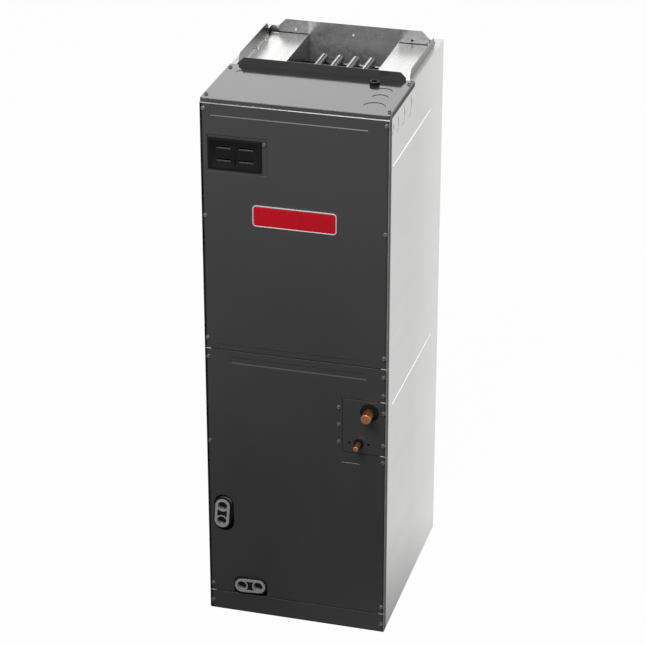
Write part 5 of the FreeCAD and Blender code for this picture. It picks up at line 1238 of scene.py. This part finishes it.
# A black cup: painted shade in the hole
dark_hole = make_ring("wall_hole", DARK_HOLE, *WALL_HOLE)
seams = [soft_block("wall_seam", *zip(seam, SEAM_Y, SEAM_Z), 0.0003) for seam in SEAMS]
hand_over(merge("outlet_marks", [dark_hole] + seams), "rubber", "cabinet")
hand_over(merge("lit_holes", lit_holes), "galvanised", "cabinet", finish="hole_light")
hand_over(merge("ledge_lances", [make_lance(y) for y in LANCES]), "galvanised", "cabinet")
# A black ring: painted shade of the pocket round the breaker cover's screw
hand_over(make_ring("breaker_washer", SCREW_SHADE_AT, *SCREW_SHADE_RING), "rubber", "upper_panel")

# %% [markdown]
# ## Insulation blankets
# Foil faced fibre lines the cabinet. It is glued to the sheet at its back and held by washers on pins, and
# swells between them. So each blanket starts thinner than its real space, has its back and its pin places
# pinned, and a short cloth simulation with a little pressure inside blows up the rest. The result is capped
# and applied.

# %% Insulation blankets
SWELL = 0.0034
PIN_REACH = 0.016
LINERS = (("left_blanket", (1, 0, 0)), ("right_blanket", (-1, 0, 0)), ("back_blanket", (0, -1, 0)))
PIN_ROWS = (0.12, 0.34, 0.56, 0.78, 0.96)
PIN_COLUMNS = (0.14, 0.5, 0.86)
CUTS_UP = 45
CUTS_ACROSS = 21
PRESSURE = 4.0
FRAMES = 20
SLIP = 0.002


def make_blanket(name, low, high, inward):
    """A swollen blanket between two corners, its soft face towards inward, and its pin places."""
    inward = Vector(inward)
    across = Vector((inward.y != 0, inward.x != 0, 0))
    pad = add_block(name, low, high)
    pick(pad, lambda at, way: way.dot(inward) > 0.9)
    bpy.ops.transform.translate(value=inward * -SWELL)
    for way_cut, cuts in ((Vector((0, 0, 1)), CUTS_UP), (across, CUTS_ACROSS)):
        pick(pad, lambda at, way: abs(way.dot(way_cut)) > 0.9, "EDGE")
        bpy.ops.mesh.subdivide(number_cuts=cuts)
    rest()
    size = high - low
    face = (low + high) / 2 + inward * (abs(size.dot(inward)) / 2 - SWELL)
    pins = []
    for row in PIN_ROWS:
        for column in PIN_COLUMNS:
            pin = face + across * (abs(size.dot(across)) * (column - 0.5))
            pins.append(Vector((pin.x, pin.y, low.z + size.z * row)))
    held = []
    for vertex in pad.data.vertices:
        near = min((vertex.co - pin).length for pin in pins) < PIN_REACH
        if near or (vertex.co - face).dot(inward) < -0.001:
            held.append(vertex.index)
    pad.vertex_groups.new(name="held").add(held, 1.0, "REPLACE")
    before = [vertex.co.copy() for vertex in pad.data.vertices]
    activate(pad)
    cloth = pad.modifiers.new("swell", "CLOTH")
    cloth.settings.vertex_group_mass = "held"
    cloth.settings.use_pressure = True
    cloth.settings.uniform_pressure_force = PRESSURE
    cloth.settings.effector_weights.gravity = 0.0
    for step in range(1, FRAMES + 1):
        bpy.context.scene.frame_set(step)
    bpy.ops.object.modifier_apply(modifier=cloth.name)
    bpy.context.scene.frame_set(1)
    for vertex, start in zip(pad.data.vertices, before):
        move = vertex.co - start
        out = max(-SWELL, min(SWELL, move.dot(inward)))
        side = move - inward * move.dot(inward)
        if side.length > SLIP:
            side *= SLIP / side.length
        vertex.co = start + inward * out + side
    pad.vertex_groups.clear()
    apply_modifier(pad, "SUBSURF", levels=1, render_levels=1)
    return pad, pins


def make_pin():
    """A dished washer with the pin's end in its middle, facing up at the origin."""
    washer = add_drum("pin_washer", (0, 0, 0.0006), 0.011, 0.0012, 24)
    pick(washer, lambda at, way: way.z > 0.9)
    bpy.ops.mesh.inset(thickness=0.004)
    bpy.ops.transform.translate(value=(0, 0, 0.0012))
    bpy.ops.mesh.inset(thickness=0.0055)
    push(z=0.001)
    soften(washer, 0.0002)
    return washer


pin_master = make_pin()
washers = []
blankets = []
sides = {}
for low, high in solids_of("insulation_liners"):
    key = "back_blanket" if high.x - low.x > 0.1 else ("left_blanket" if low.x < 0 else "right_blanket")
    sides[key] = (low, high)
for name, inward in LINERS:
    pad, pins = make_blanket(name, *sides[name], inward)
    turn = Vector((0, 0, 1)).rotation_difference(Vector(inward)).to_euler()
    washers += [copy_to(pin_master, pin, turn) for pin in pins]
    blankets.append(pad)
bpy.data.objects.remove(pin_master)
for pad in blankets:
    hand_over(pad, "liner", "cabinet", *(["insulation_liners"] if pad == blankets[0] else []))
hand_over(merge("blanket_pins", washers), "galvanised", "cabinet")

# %% [markdown]
# ## Filter media
# The filter's media is one sheet of fleece in rounded pleats, with three card straps glued across the
# crests. A flat grid is moved, point by point, to a rounded zigzag, and a Solidify modifier gives it its
# thickness.

# %% Filter media
media_low, media_high = (Vector(corner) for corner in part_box("filter_media"))
PLEATS = 14
FLEECE = 0.0014
ROUNDING = 0.93
POINTS_A_PLEAT = 12
WAVER = 0.0003
STRAP_HALF = 0.009
STRAPS = (0.2, 0.5, 0.8)


def make_media():
    """The pleated fleece, and the length of sheet in it."""
    middle = (media_low + media_high) / 2
    size = media_high - media_low
    rest()
    bpy.ops.mesh.primitive_grid_add(x_subdivisions=PLEATS * POINTS_A_PLEAT, y_subdivisions=10, size=1,
                                    location=middle)
    bpy.context.object.scale = (size.x, size.y, 1)
    made = settle("filter_fleece")
    half = size.z / 2 - FLEECE
    for vertex in made.data.vertices:
        phase = (vertex.co.x - media_low.x) / size.x * PLEATS * 2 * math.pi
        wave = math.asin(ROUNDING * math.cos(phase)) / math.asin(ROUNDING)
        vertex.co.z = middle.z - half * wave + WAVER * math.sin(vertex.co.y * 60 + phase / 3)
    area = sum(face.area for face in made.data.polygons)
    apply_modifier(made, "SOLIDIFY", thickness=FLEECE, offset=0.0)
    return made, area / size.y


def make_strap(share):
    """A card strap across the crests."""
    y = media_low.y + (media_high.y - media_low.y) * share
    return soft_block("filter_strap", (media_low.x, y - STRAP_HALF, media_high.z - 0.0002),
                      (media_high.x, y + STRAP_HALF, media_high.z + 0.0006), 0.0002)


fleece, sheet_length = make_media()
hand_over(fleece, "media", "filter", "filter_media")
hand_over(merge("filter_straps", [make_strap(share) for share in STRAPS]), "card", "filter")

# %% [markdown]
# ## Parts on the control board
# The board's relays and terminals get their own colours: each packed block is capped by a slightly larger
# moulded case, and small round capacitors stand between them.

# %% Parts on the control board
BOARD_FACE = -0.2056
RELAYS = (-0.024, 0.032)
RELAY_WIDE = 0.028
RELAY_FRONT = -0.2296
RELAY_Z = (1.271, 1.299)
TERMINAL_X = (-0.024, 0.064)
TERMINAL_FRONT = -0.2216
TERMINAL_Z = (1.223, 1.239)
FENCES = 9
FENCE_HALF = 0.0008
CANS = ((0.0115, 1.262), (0.0215, 1.262), (0.0165, 1.276))
CAN_RADIUS = 0.0042
CAN_TALL = 0.016
CASE_GROW = 0.0004


def make_case(name, x, front, z, rim):
    """A moulded case round a packed block: rounded, with a sunk field on its front."""
    grow = Vector((CASE_GROW, CASE_GROW, CASE_GROW))
    case = add_block(name, Vector((x[0], front, z[0])) - grow, Vector((x[1], BOARD_FACE, z[1])) + grow)
    sink_front(case, rim, 0.0005)
    soften(case, 0.0007, 3)
    return case


def make_can(x, z):
    """An upright capacitor with a grooved sleeve."""
    can = add_drum("capacitor", (x, BOARD_FACE - CAN_TALL / 2, z), CAN_RADIUS, CAN_TALL, 24, FACING)
    sink_front(can, 0.0007, 0.0004)
    soften(can, 0.0004, 2, 50)
    return can


def make_fence(index):
    """One of the thin walls between the terminals."""
    x = TERMINAL_X[0] + (TERMINAL_X[1] - TERMINAL_X[0]) * index / (FENCES - 1)
    return soft_block("terminal_fence", (x - FENCE_HALF, TERMINAL_FRONT - 0.003, TERMINAL_Z[0] + 0.0002),
                      (x + FENCE_HALF, TERMINAL_FRONT + 0.0002, TERMINAL_Z[1] - 0.0002), 0.0003)


cases = [make_case("relay_case", (x, x + RELAY_WIDE), RELAY_FRONT, RELAY_Z, 0.0025) for x in RELAYS]
hand_over(merge("relay_cases", cases + [make_can(*can) for can in CANS]), "black_plastic", "cabinet")
terminals = make_case("terminal_case", TERMINAL_X, TERMINAL_FRONT, TERMINAL_Z, 0.002)
fences = [make_fence(index) for index in range(FENCES)]
hand_over(merge("terminal_strip", [terminals] + fences), "board", "cabinet", finish="ceramic")

# %% [markdown]
# ## Size
# The dressed cabinet must still be the size of the imported one, so its size is printed.

# %% Print the size
bpy.context.view_layer.update()
low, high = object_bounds()
print("visual size", [round(b - a, 4) for a, b in zip(low, high)])
